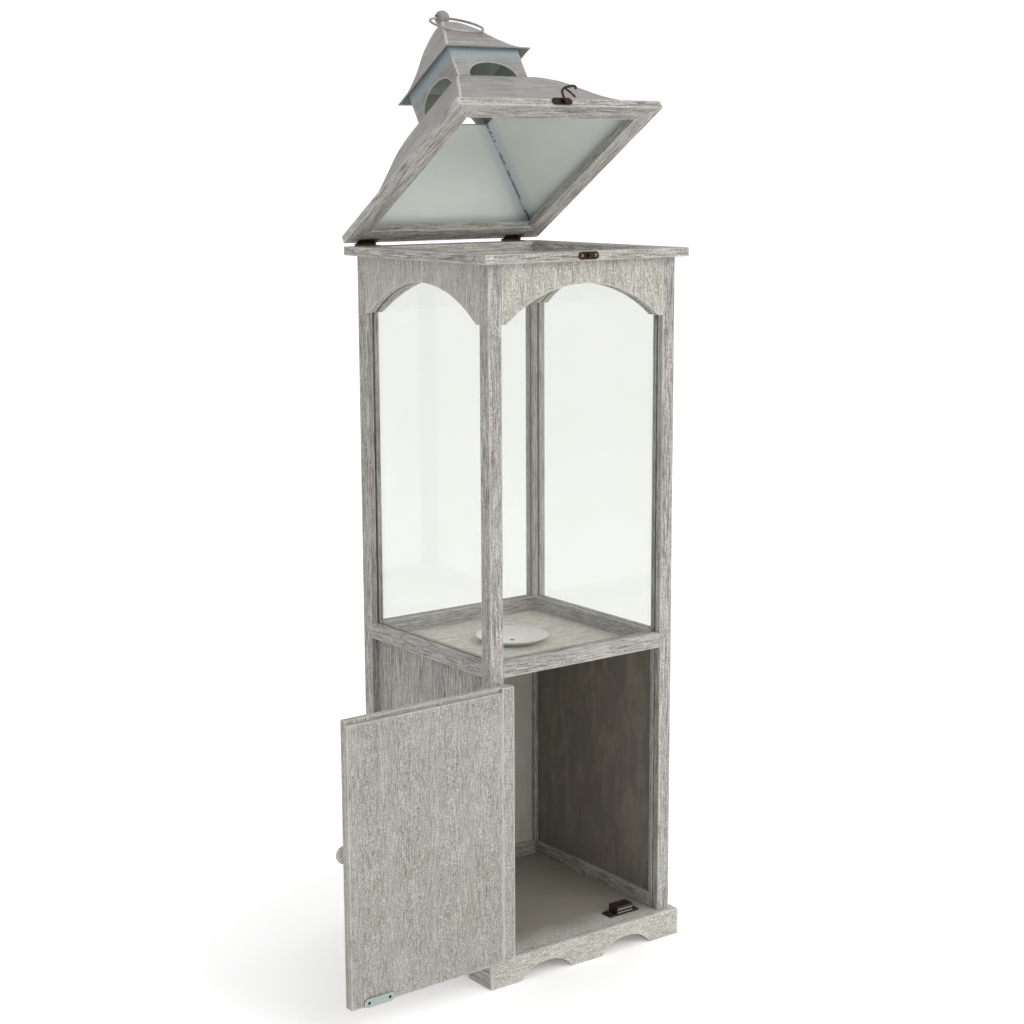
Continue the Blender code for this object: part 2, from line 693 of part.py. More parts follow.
def spline(points, steps):
    """Smooth curve through the given points."""
    out = []
    rows = [points[0]] + list(points) + [points[-1]]
    for p0, p1, p2, p3 in zip(rows, rows[1:], rows[2:], rows[3:]):
        for k in range(steps):
            t = k / steps
            out.append(tuple(
                0.5 * (2 * b + (c - a) * t + (2 * a - 5 * b + 4 * c - d) * t * t
                       + (3 * b - a - 3 * c + d) * t ** 3)
                for a, b, c, d in zip(p0, p1, p2, p3)))
    out.append(tuple(points[-1]))
    return out


def latch():
    """Hook and its plate on the lid; plate with a headed stud on the rim."""
    eye_z = z_lid + LID_THICKNESS * 0.6 - HOOK_REACH
    outline = [(EYE_X + x, eye_z + z) for x, z in obround(LATCH_LENGTH, LATCH_HEIGHT)]
    back = -rim_half - GAP
    front = back - LATCH_THICKNESS
    eye = piece("eye_plate", slab(outline, "Y", front, back), bronze, middle)
    hook_back = -lid_half - 2 * GAP - LATCH_THICKNESS
    hook_front = hook_back - HOOK_THICKNESS - 2 * GAP
    centre = (EYE_X, 0, eye_z)
    head = hook_front - GAP
    combine(eye, "eye_stud", rod(STUD, head - 0.0004, back - 0.0004, centre, "Y"), "UNION")
    combine(eye, "eye_stud_head",
            rod(STUD * 1.5, head - 0.0008, head, centre, "Y"), "UNION")

    pivot_w = LID_THICKNESS * 0.6
    flat = []
    for x, z in obround(LATCH_LENGTH, LATCH_HEIGHT):
        point = lid(LATCH_X + x, 0, pivot_w + z - 0.0002)
        flat.append((point.x, point.z))
    plate_back = -lid_half - GAP
    plate_front = plate_back - LATCH_THICKNESS
    shift = -lid_axis_y
    plate = piece("latch_plate", slab(flat, "Y", plate_front + shift, plate_back + shift),
                  bronze, lid_axis)
    pivot = lid(HOOK_X, 0, pivot_w)
    spot = (pivot.x, 0, pivot.z)
    combine(plate, "latch_rivet",
            rod(RIVET, hook_front - GAP - 0.0006 + shift, plate_back - 0.0004 + shift, spot, "Y",
                14), "UNION")
    combine(plate, "latch_rivet_head",
            rod(RIVET * 1.9, hook_front - GAP - 0.001 + shift, hook_front - GAP + shift, spot,
                "Y", 14), "UNION")
    hook_axis = empty("hook_axis", lid(HOOK_X, hook_back, pivot_w), (0, 0, 0), lid_axis)
    deep = hook_front - hook_back
    arm = spline([(0.0002, 0.0012), (0.0003, 0.0055), (0.0006, 0.0105), (0.0035, 0.0148),
                  (0.0085, 0.0174), (0.0150, 0.0190), (0.0205, 0.0197), (0.0232, 0.0185),
                  (0.0222, 0.0155)], 4)
    hook = piece("hook", ribbon(arm, 0.0028, deep, -2 * GAP), bronze, hook_axis)
    prong = spline([(0.0064, 0.0166), (0.0110, 0.0125), (0.0145, 0.0082), (0.0175, 0.0045)], 4)
    combine(hook, "hook_prong", ribbon(prong, 0.0022, deep + 0.0001, -2 * GAP - 0.0001),
            "UNION")
    combine(hook, "hook_boss", rod(0.0034, deep, 0.0, (0, 0, 0), "Y", 18), "UNION")
    combine(hook, "hook_bore", rod(RIVET + GAP, -0.01, 0.01, (0, 0, 0), "Y", 14), "DIFFERENCE")


def ring():
    """Carrying ring through the ball, lying forward on the small roof."""
    steps, sides = 48, 10
    shape = bmesh.new()
    rows = []
    for k in range(steps):
        angle = 2 * math.pi * k / steps
        row = []
        for m in range(sides):
            turn = 2 * math.pi * m / sides
            reach = RING_RADIUS + RING_WIRE * math.cos(turn)
            row.append(shape.verts.new((reach * math.sin(angle),
                                        -RING_RADIUS + reach * math.cos(angle),
                                        RING_WIRE * math.sin(turn))))
        rows.append(row)
    rows.append(rows[0])
    for lower, upper in zip(rows, rows[1:]):
        for m in range(sides):
            n = (m + 1) % sides
            shape.faces.new((lower[m], lower[n], upper[n], upper[m]))
    piece("carrying_ring", shape, sheet, ring_axis, smooth=True)


def dish():
    """Thin turned saucer that carries the candle."""
    base = z_shelf + SHELF_THICKNESS + GAP
    radius = DISH_WIDTH / 2
    foot = DISH_FOOT / 2
    profile = [(0, 0), (foot, 0)]
    for k in range(1, 7):
        t = k / 6
        profile.append((foot + (radius - foot) * t, (DISH_HEIGHT - DISH_SHEET) * t ** 1.6))
    profile.append((radius, DISH_HEIGHT))
    for k in range(6, 0, -1):
        t = k / 6 * 0.96
        profile.append((foot + (radius - foot) * t,
                        (DISH_HEIGHT - DISH_SHEET) * t ** 1.6 + DISH_SHEET))
    profile += [(foot * 0.9, DISH_SHEET), (0.0035, DISH_SHEET), (0.0032, DISH_SHEET + 0.0012),
                (0, DISH_SHEET + 0.0014)]
    piece("candle_dish", turned(profile, 40, (DISH_X, DISH_Y, base)), enamel, middle,
          smooth=True)


def door_block(x0, x1, y0, y1, z0, z1):
    """A block of the door, given as it lies with the door closed."""
    return box((x0 - door_axis_x, y0 - door_axis_y, z0),
               (x1 - door_axis_x, y1 - door_axis_y, z1))


def door():
    """Flat frame of two stiles and two rails with a plywood lining behind it."""
    outer = -body_half
    inner = outer + DOOR_FRAME_THICKNESS
    spans = (("hinge", door_left, door_left + DOOR_STILE),
             ("free", door_right - DOOR_STILE, door_right))
    for tag, low, high in spans:
        stile = piece("door_stile_" + tag,
                      door_block(low, high, outer, inner, door_bottom, door_top),
                      pickled, door_axis, chamfer=EDGE)
        if tag == "hinge":
            # a strip as thick as the lining backs this stile and meets the lining's edge
            combine(stile, "stile_backing",
                    door_block(low, low + LINING_HINGE_INSET - GAP, inner - 0.001, door_inside,
                               door_bottom, door_top), "UNION")
    low = door_left + DOOR_STILE + GAP
    high = door_right - DOOR_STILE - GAP
    for tag, z0, z1 in (("bottom", door_bottom, door_bottom + DOOR_STILE),
                        ("top", door_top - DOOR_STILE, door_top)):
        piece("door_rail_" + tag, door_block(low, high, outer, inner, z0, z1), pickled,
              door_axis, chamfer=EDGE)
    piece("door_lining",
          door_block(door_left + LINING_HINGE_INSET, door_right, inner + GAP, door_inside,
                     door_bottom, door_top - LINING_TOP_INSET), pickled, door_axis)

    x = door_right - KNOB_EDGE - door_axis_x
    face = outer - GAP - door_axis_y
    profile = [(0, 0), (0.0062, 0), (0.0060, -0.0014), (0.0043, -0.0034), (0.0041, -0.0048)]
    half = KNOB_LENGTH * 0.35
    for k in range(10):
        angle = -0.95 + (math.pi / 2 + 0.95) * k / 10
        profile.append((KNOB_RADIUS * math.cos(angle),
                        half - KNOB_LENGTH - half * math.sin(angle)))
    profile.append((0, -KNOB_LENGTH))
    piece("door_knob", turned(profile, 28, (x, face, KNOB_Z), "Y"), pickled, door_axis,
          smooth=True)

    x = door_right - STRIKE_EDGE - door_axis_x
    z = door_bottom - STRIKE_DROP + STRIKE_HEIGHT / 2
    near = door_inside + GAP - door_axis_y
    outline = [(x + a, z + b) for a, b in obround(STRIKE_LENGTH, STRIKE_HEIGHT, 6)]
    strike = piece("strike_plate", slab(outline, "Y", near, near + STRIKE_THICKNESS), zinc,
                   door_axis)
    for sign, tag in ((-1, "left"), (1, "right")):
        spot = (x + sign * STRIKE_HOLES / 2, 0, z)
        combine(strike, "strike_hole_" + tag,
                rod(STRIKE_HOLE, near - 0.005, near + 0.005, spot, "Y", 14), "DIFFERENCE")


def catch():
    """Magnetic catch: a screwed flange with the magnet's housing standing on it."""
    x = door_right - STRIKE_EDGE
    front = door_inside + GAP + STRIKE_THICKNESS + CATCH_CLEAR
    flange = piece("magnetic_catch",
                   box((x - CATCH_LENGTH / 2, front, z_body),
                       (x + CATCH_LENGTH / 2, front + CATCH_DEPTH, z_body + CATCH_FLANGE)),
                   brown, middle, chamfer=EDGE)
    combine(flange, "catch_housing",
            box((x - CATCH_BODY / 2, front + 0.0001, z_body + CATCH_FLANGE / 2),
                (x + CATCH_BODY / 2, front + CATCH_DEPTH - 0.001, z_body + CATCH_HEIGHT)),
            "UNION")


lid_axis = empty("lid_axis", (0, lid_axis_y, lid_axis_z), (-LID_OPEN, 0, 0), middle)
ring_axis = empty("ring_axis", lid(0, 0, ball_w), (RING_DROP, 0, 0), lid_axis)
door_axis = empty("door_axis", (door_axis_x, door_axis_y, 0), (0, 0, -DOOR_OPEN), middle)

plinth()
posts()
rails_and_panels()
chamber()
rim()
lid_frame()
hinges()
roofs()
ring()
latch()
dish()
door()
catch()
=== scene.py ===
"""Looks of the hurricane candle lantern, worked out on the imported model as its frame.

Metres, Z up, front to -Y.  Lid pieces are computed with the lid shut and then turned about
its hinge, and door pieces with the door shut, because both stand open at rest.
"""
import json
import math

import bpy
import numpy as np
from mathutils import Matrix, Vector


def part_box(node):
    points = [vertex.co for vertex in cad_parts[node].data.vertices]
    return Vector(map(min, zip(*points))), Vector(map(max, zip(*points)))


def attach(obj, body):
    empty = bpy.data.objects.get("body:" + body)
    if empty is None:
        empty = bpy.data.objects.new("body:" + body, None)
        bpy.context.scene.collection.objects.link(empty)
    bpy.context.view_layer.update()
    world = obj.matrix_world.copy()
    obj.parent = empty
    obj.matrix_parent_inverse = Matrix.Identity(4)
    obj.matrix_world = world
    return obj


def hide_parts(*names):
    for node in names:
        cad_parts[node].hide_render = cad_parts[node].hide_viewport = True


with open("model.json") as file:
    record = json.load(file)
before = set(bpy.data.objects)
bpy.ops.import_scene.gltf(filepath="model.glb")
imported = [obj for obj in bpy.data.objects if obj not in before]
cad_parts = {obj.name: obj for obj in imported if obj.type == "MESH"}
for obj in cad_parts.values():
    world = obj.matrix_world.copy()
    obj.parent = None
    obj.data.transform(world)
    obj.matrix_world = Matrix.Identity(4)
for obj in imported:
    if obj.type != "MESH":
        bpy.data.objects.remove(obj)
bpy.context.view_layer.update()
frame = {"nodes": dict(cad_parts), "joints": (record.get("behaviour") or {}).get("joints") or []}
nodes = frame["nodes"]

# ---------------------------------------------------------------------------------------
# Camera, light and table.  A white card table and a white room, with a broad soft box in
# front and to the right, so the left faces are a little darker and the shadows are faint.
scene = bpy.context.scene
scene.view_settings.view_transform = "Standard"

camera_data = bpy.data.cameras.new("camera")
camera_data.lens = 67.89
camera_data.clip_end = 50.0
camera = bpy.data.objects.new("camera", camera_data)
camera.location = (-1.3889, -1.7430, 0.9595)
camera.rotation_euler = (math.radians(79.72), math.radians(0.25), math.radians(-36.42))
scene.collection.objects.link(camera)
scene.camera = camera


def linear(code):
    """Linear colour with alpha from an sRGB hex code such as a1b2c3."""
    value = np.array([int(code[i:i + 2], 16) for i in (0, 2, 4)]) / 255.0
    value = np.where(value <= 0.04045, value / 12.92, ((value + 0.055) / 1.055) ** 2.4)
    return (*value.tolist(), 1.0)


def add(tree, kind, settings):
    """Add a shader node.

    A key of settings is a property, or the name or number of an input.  A value is a plain
    setting, or the node or output that feeds that input.
    """
    node = tree.nodes.new("ShaderNode" + kind)
    for key, value in settings.items():
        if isinstance(key, str) and hasattr(node, key):
            setattr(node, key, value)
        elif isinstance(value, bpy.types.Node):
            tree.links.new(value.outputs[0], node.inputs[key])
        elif isinstance(value, bpy.types.NodeSocket):
            tree.links.new(value, node.inputs[key])
        else:
            node.inputs[key].default_value = value
    return node


def feed(tree, node, settings):
    """Set the inputs of a node, each to a plain value or to another node's first output."""
    for key, value in settings.items():
        if isinstance(value, bpy.types.Node):
            tree.links.new(value.outputs[0], node.inputs[key])
        else:
            node.inputs[key].default_value = value


def noise(tree, place, scale, detail, rough=0.5, warp=0.0):
    """Cloudy noise from 0 to 1 over a place in pattern space."""
    return add(tree, "TexNoise", {"Vector": place, "Scale": scale, "Detail": detail,
                                  "Roughness": rough, "Distortion": warp})


def ramp(tree, value, start, end, low=0.0, high=1.0):
    """A straight ramp from low at start to high at end, level beyond both."""
    return add(tree, "MapRange", {"Value": value, "From Min": start, "From Max": end,
                                  "To Min": low, "To Max": high})


def blend(tree, share, under, over):
    """Mix two colours by a share; each is an sRGB hex code or a node."""
    under, over = (linear(side) if isinstance(side, str) else side for side in (under, over))
    return add(tree, "MixRGB", {"Fac": share, "Color1": under, "Color2": over})


def new_material(name):
    """An empty node material; gives back the material, its tree and its Principled shader."""
    made = bpy.data.materials.new(name)
    made.use_nodes = True
    tree = made.node_tree
    return made, tree, tree.nodes["Principled BSDF"]


ROOM_LIGHT = 1.12
SIDE_DROP = 0.34              # how much darker the room is to the left
world = bpy.data.worlds.new("white_room")
world.use_nodes = True
scene.world = world
room = world.node_tree
where = add(room, "TexCoord", {})
spread = add(room, "SeparateXYZ", {0: where.outputs["Generated"]})
level = add(room, "MapRange", {"Value": spread.outputs[0], "From Min": -1.0, "From Max": 0.35,
                               "To Min": ROOM_LIGHT - SIDE_DROP, "To Max": ROOM_LIGHT,
                               "interpolation_type": "SMOOTHSTEP"})
cast = blend(room, level, "e6def2", "ffffff")
sky = room.nodes["Background"]
room.links.new(cast.outputs[0], sky.inputs["Color"])
room.links.new(level.outputs[0], sky.inputs["Strength"])

soft_box_data = bpy.data.lights.new("soft_box", "AREA")
soft_box_data.shape = "RECTANGLE"
soft_box_data.size = 2.2
soft_box_data.size_y = 1.8
soft_box_data.energy = 38.0
soft_box = bpy.data.objects.new("soft_box", soft_box_data)
soft_box.location = (1.1, -2.9, 2.3)
aim = np.array([0.0, 0.1, 0.6]) - np.array(soft_box.location)
soft_box.rotation_euler = (math.acos(-aim[2] / np.linalg.norm(aim)), 0.0,
                           math.atan2(aim[1], aim[0]) - math.pi / 2)
scene.collection.objects.link(soft_box)

TABLE_HALF = 9.0
table_mesh = bpy.data.meshes.new("white_table")
table_mesh.from_pydata([(x, y, 0.0) for x, y in
                        ((-TABLE_HALF, -TABLE_HALF), (TABLE_HALF, -TABLE_HALF),
                         (TABLE_HALF, TABLE_HALF), (-TABLE_HALF, TABLE_HALF))],
                       [], [(0, 1, 2, 3)])
table = bpy.data.objects.new("white_table", table_mesh)
scene.collection.objects.link(table)
card, tree, shader = new_material("matt_white_card")
fibre = add(tree, "TexNoise", {"Scale": 900.0, "Detail": 2.0})
shade = blend(tree, fibre, "fbfbfa", "ffffff")
feed(tree, shader, {"Base Color": shade, "Roughness": 0.9, "Specular IOR Level": 0.1,
                    "Emission Color": linear("ffffff"), "Emission Strength": 0.15})
table_mesh.materials.append(card)

# ---------------------------------------------------------------------------------------
# Posts and plinth.  Planed fir, stained grey-brown, brushed with thin white limewash and
# wiped, so the wash stays in the pores and the fibres show; arrises are paler, partly rubbed
# and partly a painted edge highlight.
MIDDLE_Y = (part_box("post_front_left")[0].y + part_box("post_back_left")[1].y) / 2
PANEL_PLANE = (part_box("lower_panel_right")[0].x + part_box("lower_panel_right")[1].x) / 2


def pickled_wood(name, grain, lean=0.0, seams=(), lined=None, shift=0.0, worn=1.0,
                 lift=1.0, fine=False):
    """Whitewashed fir whose fibres follow the axis with the letter grain.

    lean turns the pattern about X for the open lid.  seams are lines across the board as
    (axis letter, place, height, place, height).  lined gives the two tones of a stained
    inner side.  lift makes the whole finish lighter, and fine is the close even figure of
    peeled ply.
    """
    made, tree, shader = new_material(name)
    spot = add(tree, "TexCoord", {}).outputs["Object"]
    turned = add(tree, "Mapping", {"Vector": spot, "Rotation": (lean, 0.0, 0.0),
                                   "Location": (shift, shift * 1.7, shift * 0.6)})

    def stretched(across, along):
        """Pattern space whose unit is across millimetres over the fibres and along with them."""
        scale = [1000.0 / (along if letter == grain else across) for letter in "XYZ"]
        return add(tree, "Mapping", {"Vector": turned, "Scale": scale})

    fibres = noise(tree, stretched(*(1.0, 17.0) if fine else (1.5, 26.0)), 1.0, 5.0, 0.62, 0.25)
    bands = noise(tree, stretched(7.0, 190.0), 1.0, 4.0, 0.6, 0.4)
    wash = noise(tree, stretched(28.0, 75.0), 1.0, 6.0, 0.66, 0.8)
    fleck = noise(tree, stretched(1.7, 5.0), 1.0, 3.0, 0.7)
    crack = noise(tree, stretched(3.4, 95.0), 1.0, 3.0, 0.55, 0.5)
    speck = noise(tree, stretched(2.3, 3.4), 1.0, 2.0, 0.6)

    spread = 0.14 if fine else 0.12
    fibre_share = ramp(tree, fibres, 0.5 - spread, 0.5 + spread)
    dark, light = ("77756d", "adaca3") if fine else ("66615a", "bebcb4")
    colour = blend(tree, fibre_share, dark, light)
    band_share = ramp(tree, bands, 0.40, 0.68, high=0.3 if fine else 0.6)
    colour = blend(tree, band_share, colour, "8b867c" if fine else "7d777a")
    wash_share = ramp(tree, wash, 0.44, 0.66, high=0.35 if fine else 0.55)
    colour = blend(tree, wash_share, colour, "b0b0aa")
    fleck_share = ramp(tree, fleck, 0.56, 0.70, high=0.60)
    colour = blend(tree, fleck_share, colour, "c8c8c2")
    speck_share = ramp(tree, speck, 0.62, 0.74, high=0.55)
    colour = blend(tree, speck_share, colour, "675f56")
    crack_share = ramp(tree, crack, 0.37, 0.29, high=0.12 if fine else 0.85)
    colour = blend(tree, crack_share, colour, "4e4742")
    sand = noise(tree, turned, 640.0, 3.0, 0.75)
    sand = ramp(tree, sand, 0.3, 0.7, 0.5 * lift, 1.5 * lift)
    colour = add(tree, "VectorMath", {"operation": "SCALE", 0: colour, "Scale": sand})
    # Inward occlusion is low only where two faces meet, which finds the arrises; the pale rim
    # there is partly rubbed wash and partly a painted edge highlight.
    arris = add(tree, "AmbientOcclusion", {"samples": 4, "inside": True, "only_local": True,
                                           "Distance": 0.0022})
    uneven = ramp(tree, wash, 0.35, 0.65, 0.35, 1.0)
    rub_share = ramp(tree, arris.outputs["AO"], 0.92, 0.62, high=0.75 * worn)
    rub_share = add(tree, "Math", {"operation": "MULTIPLY", 0: rub_share, 1: uneven})
    colour = blend(tree, rub_share, colour, "cfcec8")
    height = add(tree, "Math", {"operation": "MULTIPLY_ADD", 0: crack_share, 1: -0.8,
                                2: fibre_share})

    if seams:
        line = None
        for letter, a0, z0, a1, z1 in seams:
            length = math.hypot(a1 - a0, z1 - z0)
            across = {letter: (z1 - z0) / length, "Z": (a0 - a1) / length}
            normal = [across.get(axis, 0.0) for axis in "XYZ"]
            offset = across[letter] * a0 + across["Z"] * z0
            reach = add(tree, "VectorMath", {"operation": "DOT_PRODUCT", 0: spot, 1: normal})
            reach = add(tree, "Math", {"operation": "SUBTRACT", 0: reach.outputs["Value"],
                                       1: offset})
            reach = add(tree, "Math", {"operation": "ABSOLUTE", 0: reach})
            line = reach if line is None else add(tree, "Math", {"operation": "MINIMUM",
                                                                 0: line, 1: reach})
        seam = ramp(tree, line, 0.0011, 0.0005, high=0.7)
        colour = blend(tree, seam, colour, "d6d6cf")
        shadow = ramp(tree, line, 0.0004, 0.0001, high=0.6)
        colour = blend(tree, shadow, colour, "6c665f")
        height = add(tree, "Math", {"operation": "MULTIPLY_ADD", 0: shadow, 1: -1.5, 2: height})

    if lined:
        centred = add(tree, "Mapping", {"Vector": spot, "Location": (0.0, -MIDDLE_Y, 0.0)})
        parts = add(tree, "SeparateXYZ", {0: centred})
        out_x = add(tree, "Math", {"operation": "ABSOLUTE", 0: parts.outputs[0]})
        out_y = add(tree, "Math", {"operation": "ABSOLUTE", 0: parts.outputs[1]})
        out = add(tree, "Math", {"operation": "MAXIMUM", 0: out_x, 1: out_y})
        inner = ramp(tree, out, PANEL_PLANE + 0.0002, PANEL_PLANE - 0.0002)
        stain = blend(tree, wash_share, lined[0], lined[1])
        colour = blend(tree, inner, colour, stain)

    bump = add(tree, "Bump", {"Height": height, "Strength": 0.55, "Distance": 0.0004})
    rough = ramp(tree, fleck, 0.3, 0.7, 0.70, 0.88)
    feed(tree, shader, {"Base Color": colour, "Normal": bump, "Roughness": rough,
                        "Specular IOR Level": 0.3})
    return made


def dress(names, material):
    """Give CAD nodes their finish."""
    for name in names:
        for slot in nodes[name].material_slots:
            slot.material = material


upright = pickled_wood("limed_fir_upright", "Z")
lengthwise = pickled_wood("limed_fir_lengthwise", "X", shift=0.31)
depthwise = pickled_wood("limed_fir_depthwise", "Y", shift=0.57)
dress(("post_front_left", "post_front_right", "post_back_left", "post_back_right"), upright)
dress(("plinth_front", "plinth_back"),
      pickled_wood("limed_fir_plinth", "X", shift=0.31, lift=1.36, fine=True))
dress(("plinth_left", "plinth_right"), depthwise)

# Rails, headboards and rim.  The same limed fir with the fibres along each board; each
# headboard is glued up from short pieces, so pencil-thin pale joints cross it.
dress(("middle_rail_front", "middle_rail_back", "bottom_rail_back", "rim_front", "rim_back"),
      lengthwise)
dress(("middle_rail_left", "middle_rail_right", "bottom_rail_left", "bottom_rail_right",
       "rim_left", "rim_right"), depthwise)
head_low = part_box("headboard_front")[0].z
head_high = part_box("headboard_front")[1].z
SPLICE_TOP = 0.084            # lantern's middle to the slanted joint, at the top and the foot
SPLICE_FOOT = 0.116
for letter, side, flip, centre in (("X", "front", 1, 0.0), ("X", "back", -1, 0.0),
                                   ("Y", "left", 1, MIDDLE_Y), ("Y", "right", -1, MIDDLE_Y)):
    joints = [(letter, centre + flip * SPLICE_TOP, head_high,
               centre + flip * SPLICE_FOOT, head_low)]
    for place in (-0.0039, 0.0189):
        joints.append((letter, centre + flip * place, head_high,
                       centre + flip * (place + 0.0006), head_low))
    board = pickled_wood("limed_fir_headboard_" + side, "Z", seams=joints,
                         shift=0.11 * flip, lift=1.22, fine=True)
    dress(("headboard_" + side,), board)

# Panels, floor and shelf.  Thin plywood; the panels are limed outside and stained inside,
# the back one's inside painted paler as painted light on the cabinet's back wall, and the
# floor's wash is worn off except along its front edge.
panelled = pickled_wood("limed_ply_panel", "Z", lined=("787369", "989285"), shift=0.83)
dress(("lower_panel_left", "lower_panel_right"), panelled)
# Painted light: the back panel's inner tones are far paler than the side panels'.
dress(("lower_panel_back",), pickled_wood("limed_ply_back_panel_painted_light", "Z", shift=0.66,
                                          lined=("bab7ab", "d1cec1")))
# Painted light: the shelf's finish is made far lighter than the other ply to stand for the light
# on it.
dress(("shelf",), pickled_wood("limed_ply_shelf_painted_light", "X", shift=0.43, worn=0.4, lift=1.8,
                               fine=True))

floor_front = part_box("floor_panel")[0].y
stained, tree, shader = new_material("stained_ply_floor")
spot = add(tree, "TexCoord", {}).outputs["Object"]
long_grain = add(tree, "Mapping", {"Vector": spot, "Scale": (40.0, 420.0, 420.0)})
fibres = noise(tree, long_grain, 1.0, 5.0, 0.65)
cloud = noise(tree, spot, 22.0, 5.0, 0.6)
colour = blend(tree, fibres, "807b70", "a09b8f")
colour = blend(tree, cloud, colour, "918d82")
edge = add(tree, "SeparateXYZ", {0: spot})
ragged = ramp(tree, cloud, 0.3, 0.7, -0.012, 0.012)
ragged = add(tree, "Math", {"operation": "ADD", 0: edge.outputs[1], 1: ragged})
wash = ramp(tree, ragged, floor_front + 0.040, floor_front + 0.004)
speckle = noise(tree, spot, 480.0, 3.0, 0.7)
speckle = ramp(tree, speckle, 0.40, 0.60, low=0.15)
wash = add(tree, "Math", {"operation": "MULTIPLY", 0: wash, 1: speckle})
colour = blend(tree, wash, colour, "c9c8c0")
bump = add(tree, "Bump", {"Height": fibres, "Strength": 0.4, "Distance": 0.0003})
feed(tree, shader, {"Base Color": colour, "Normal": bump, "Roughness": 0.72})
dress(("floor_panel",), stained)

# Glass.  Four drawn window panes of 2 mm: clear, so thin that they hardly bend what is
# seen through them, with a faint grey veil and a soft mirror of the white room.
pane = bpy.data.materials.new("clear_window_glass")
pane.use_nodes = True
tree = pane.node_tree
tree.nodes.remove(tree.nodes["Principled BSDF"])
spot = add(tree, "TexCoord", {}).outputs["Object"]
film = noise(tree, spot, 14.0, 3.0)
veil = blend(tree, film, "f6f7f5", "f8f8f7")
ripple = add(tree, "Bump", {"Height": film, "Strength": 0.05, "Distance": 0.001})
clear = add(tree, "BsdfTransparent", {"Color": veil})
mirror = add(tree, "BsdfGlossy", {"Color": linear("ffffff"), "Roughness": 0.03,
                                  "Normal": ripple})
# Schlick's share: 4% mirrored straight on, rising with the fifth power towards grazing.
tilt = add(tree, "LayerWeight", {"Blend": 0.5})
tilt = add(tree, "Math", {"operation": "POWER", 0: tilt.outputs["Facing"], 1: 5.0})
grazing = add(tree, "MapRange", {"Value": tilt, "To Min": 0.03, "To Max": 0.9})
glazed = add(tree, "MixShader", {0: grazing, 1: clear, 2: mirror})
tree.links.new(glazed.outputs[0], tree.nodes["Material Output"].inputs["Surface"])
dress(("glass_front", "glass_right", "glass_back", "glass_left"), pane)

# ---------------------------------------------------------------------------------------
# Lid frame.  Four mitred rails of the same limed fir, turned with the open lid.
lid_joint = next(joint for joint in frame["joints"] if joint["child"] == "lid")
LID_PIVOT = np.array(lid_joint["pos_m"])
LID_TILT = math.radians(-lid_joint["range_deg"][0])
LID_UNDER = 0.861             # height of the frame's underside with the lid shut


def open_lid(points):
    """Turn points of the shut lid about its hinge to where the lid stands open."""
    points = np.asarray(points, float)
    y = points[..., 1] - LID_PIVOT[1]
    z = points[..., 2] - LID_PIVOT[2]
    cos, sin = math.cos(LID_TILT), math.sin(LID_TILT)
    return np.stack([points[..., 0], LID_PIVOT[1] + y * cos + z * sin,
                     LID_PIVOT[2] - y * sin + z * cos], axis=-1)


lid_along = pickled_wood("limed_fir_lid_lengthwise", "X", lean=LID_TILT, shift=0.22)
lid_across = pickled_wood("limed_fir_lid_depthwise", "Y", lean=LID_TILT, shift=0.74)
dress(("lid_rail_front", "lid_rail_back"), lid_along)
dress(("lid_rail_left", "lid_rail_right"), lid_across)

# ---------------------------------------------------------------------------------------
# Main roof.  Thin steel sheet folded from four ogee gores and soldered on the hips, then
# brushed grey along the eaves; bare primer inside.  It stands on the lid frame.
FRAME_TOP = LID_UNDER + 0.0099
ROOF_FOOT = 0.146             # half widths at the eave and at the cupola
ROOF_HEAD = 0.0515
THROAT = 0.0495
ROOF_RISE = 0.0975
SHEET = 0.0012
HIP_FOLD = 0.0016             # radius of the folded hips
OGEE = ((0.0, 0.0), (0.15, 0.082), (0.29, 0.204), (0.437, 0.362), (0.575, 0.55),
        (0.72, 0.75), (0.89, 0.922), (1.0, 1.0))


def smooth_line(points, count):
    """count points on a curve through the given ones, by cubic pieces with chord slopes."""
    points = np.asarray(points, float)
    slopes = np.gradient(points, axis=0)
    place = np.linspace(0.0, len(points) - 1.0, count)
    k = np.minimum(place.astype(int), len(points) - 2)
    t = (place - k)[:, None]
    return ((2 * t**3 - 3 * t**2 + 1) * points[k] + (t**3 - 2 * t**2 + t) * slopes[k]
            + (3 * t**2 - 2 * t**3) * points[k + 1] + (t**3 - t**2) * slopes[k + 1])


def square_rings(halves, levels, fold, steps=33, bends=5):
    """Square rings about the lantern's axis, shut lid.

    Each ring has four straight runs of x from -(a - r) to a - r at y = -a, joined by quarter
    turns of radius r.  Gives points (ring, place, 3) and their pattern values: the distance
    from the middle of the face, the way up the sheet, the face number, and the distance to
    the nearest hip.
    """
    halves = np.asarray(halves, float)[:, None]
    levels = np.asarray(levels, float)[:, None]
    fold = np.minimum(fold, halves * 0.9)
    straight = halves - fold
    share = np.linspace(-1.0, 1.0, steps)[None, :]
    turn = np.linspace(-math.pi / 2, 0.0, bends + 1)[None, 1:-1]
    x = np.concatenate([share * straight, straight + fold * np.cos(turn)], axis=1)
    y = np.concatenate([-halves + 0 * share, -straight + fold * np.sin(turn)], axis=1)
    run = np.vstack([[0.0], np.cumsum(np.hypot(np.diff(halves, axis=0),
                                               np.diff(levels, axis=0)), axis=0)])
    hip = np.maximum(straight - np.abs(x), 0.0)
    sides, values = [], []
    turned_x, turned_y = x, y
    for face in range(4):
        sides.append(np.stack([turned_x, turned_y + MIDDLE_Y, levels + 0 * x], axis=-1))
        values.append(np.stack([x, run + 0 * x, face * 1.7 + 0 * x, hip], axis=-1))
        turned_x, turned_y = -turned_y, turned_x
    return np.concatenate(sides, axis=1), np.concatenate(values, axis=1)


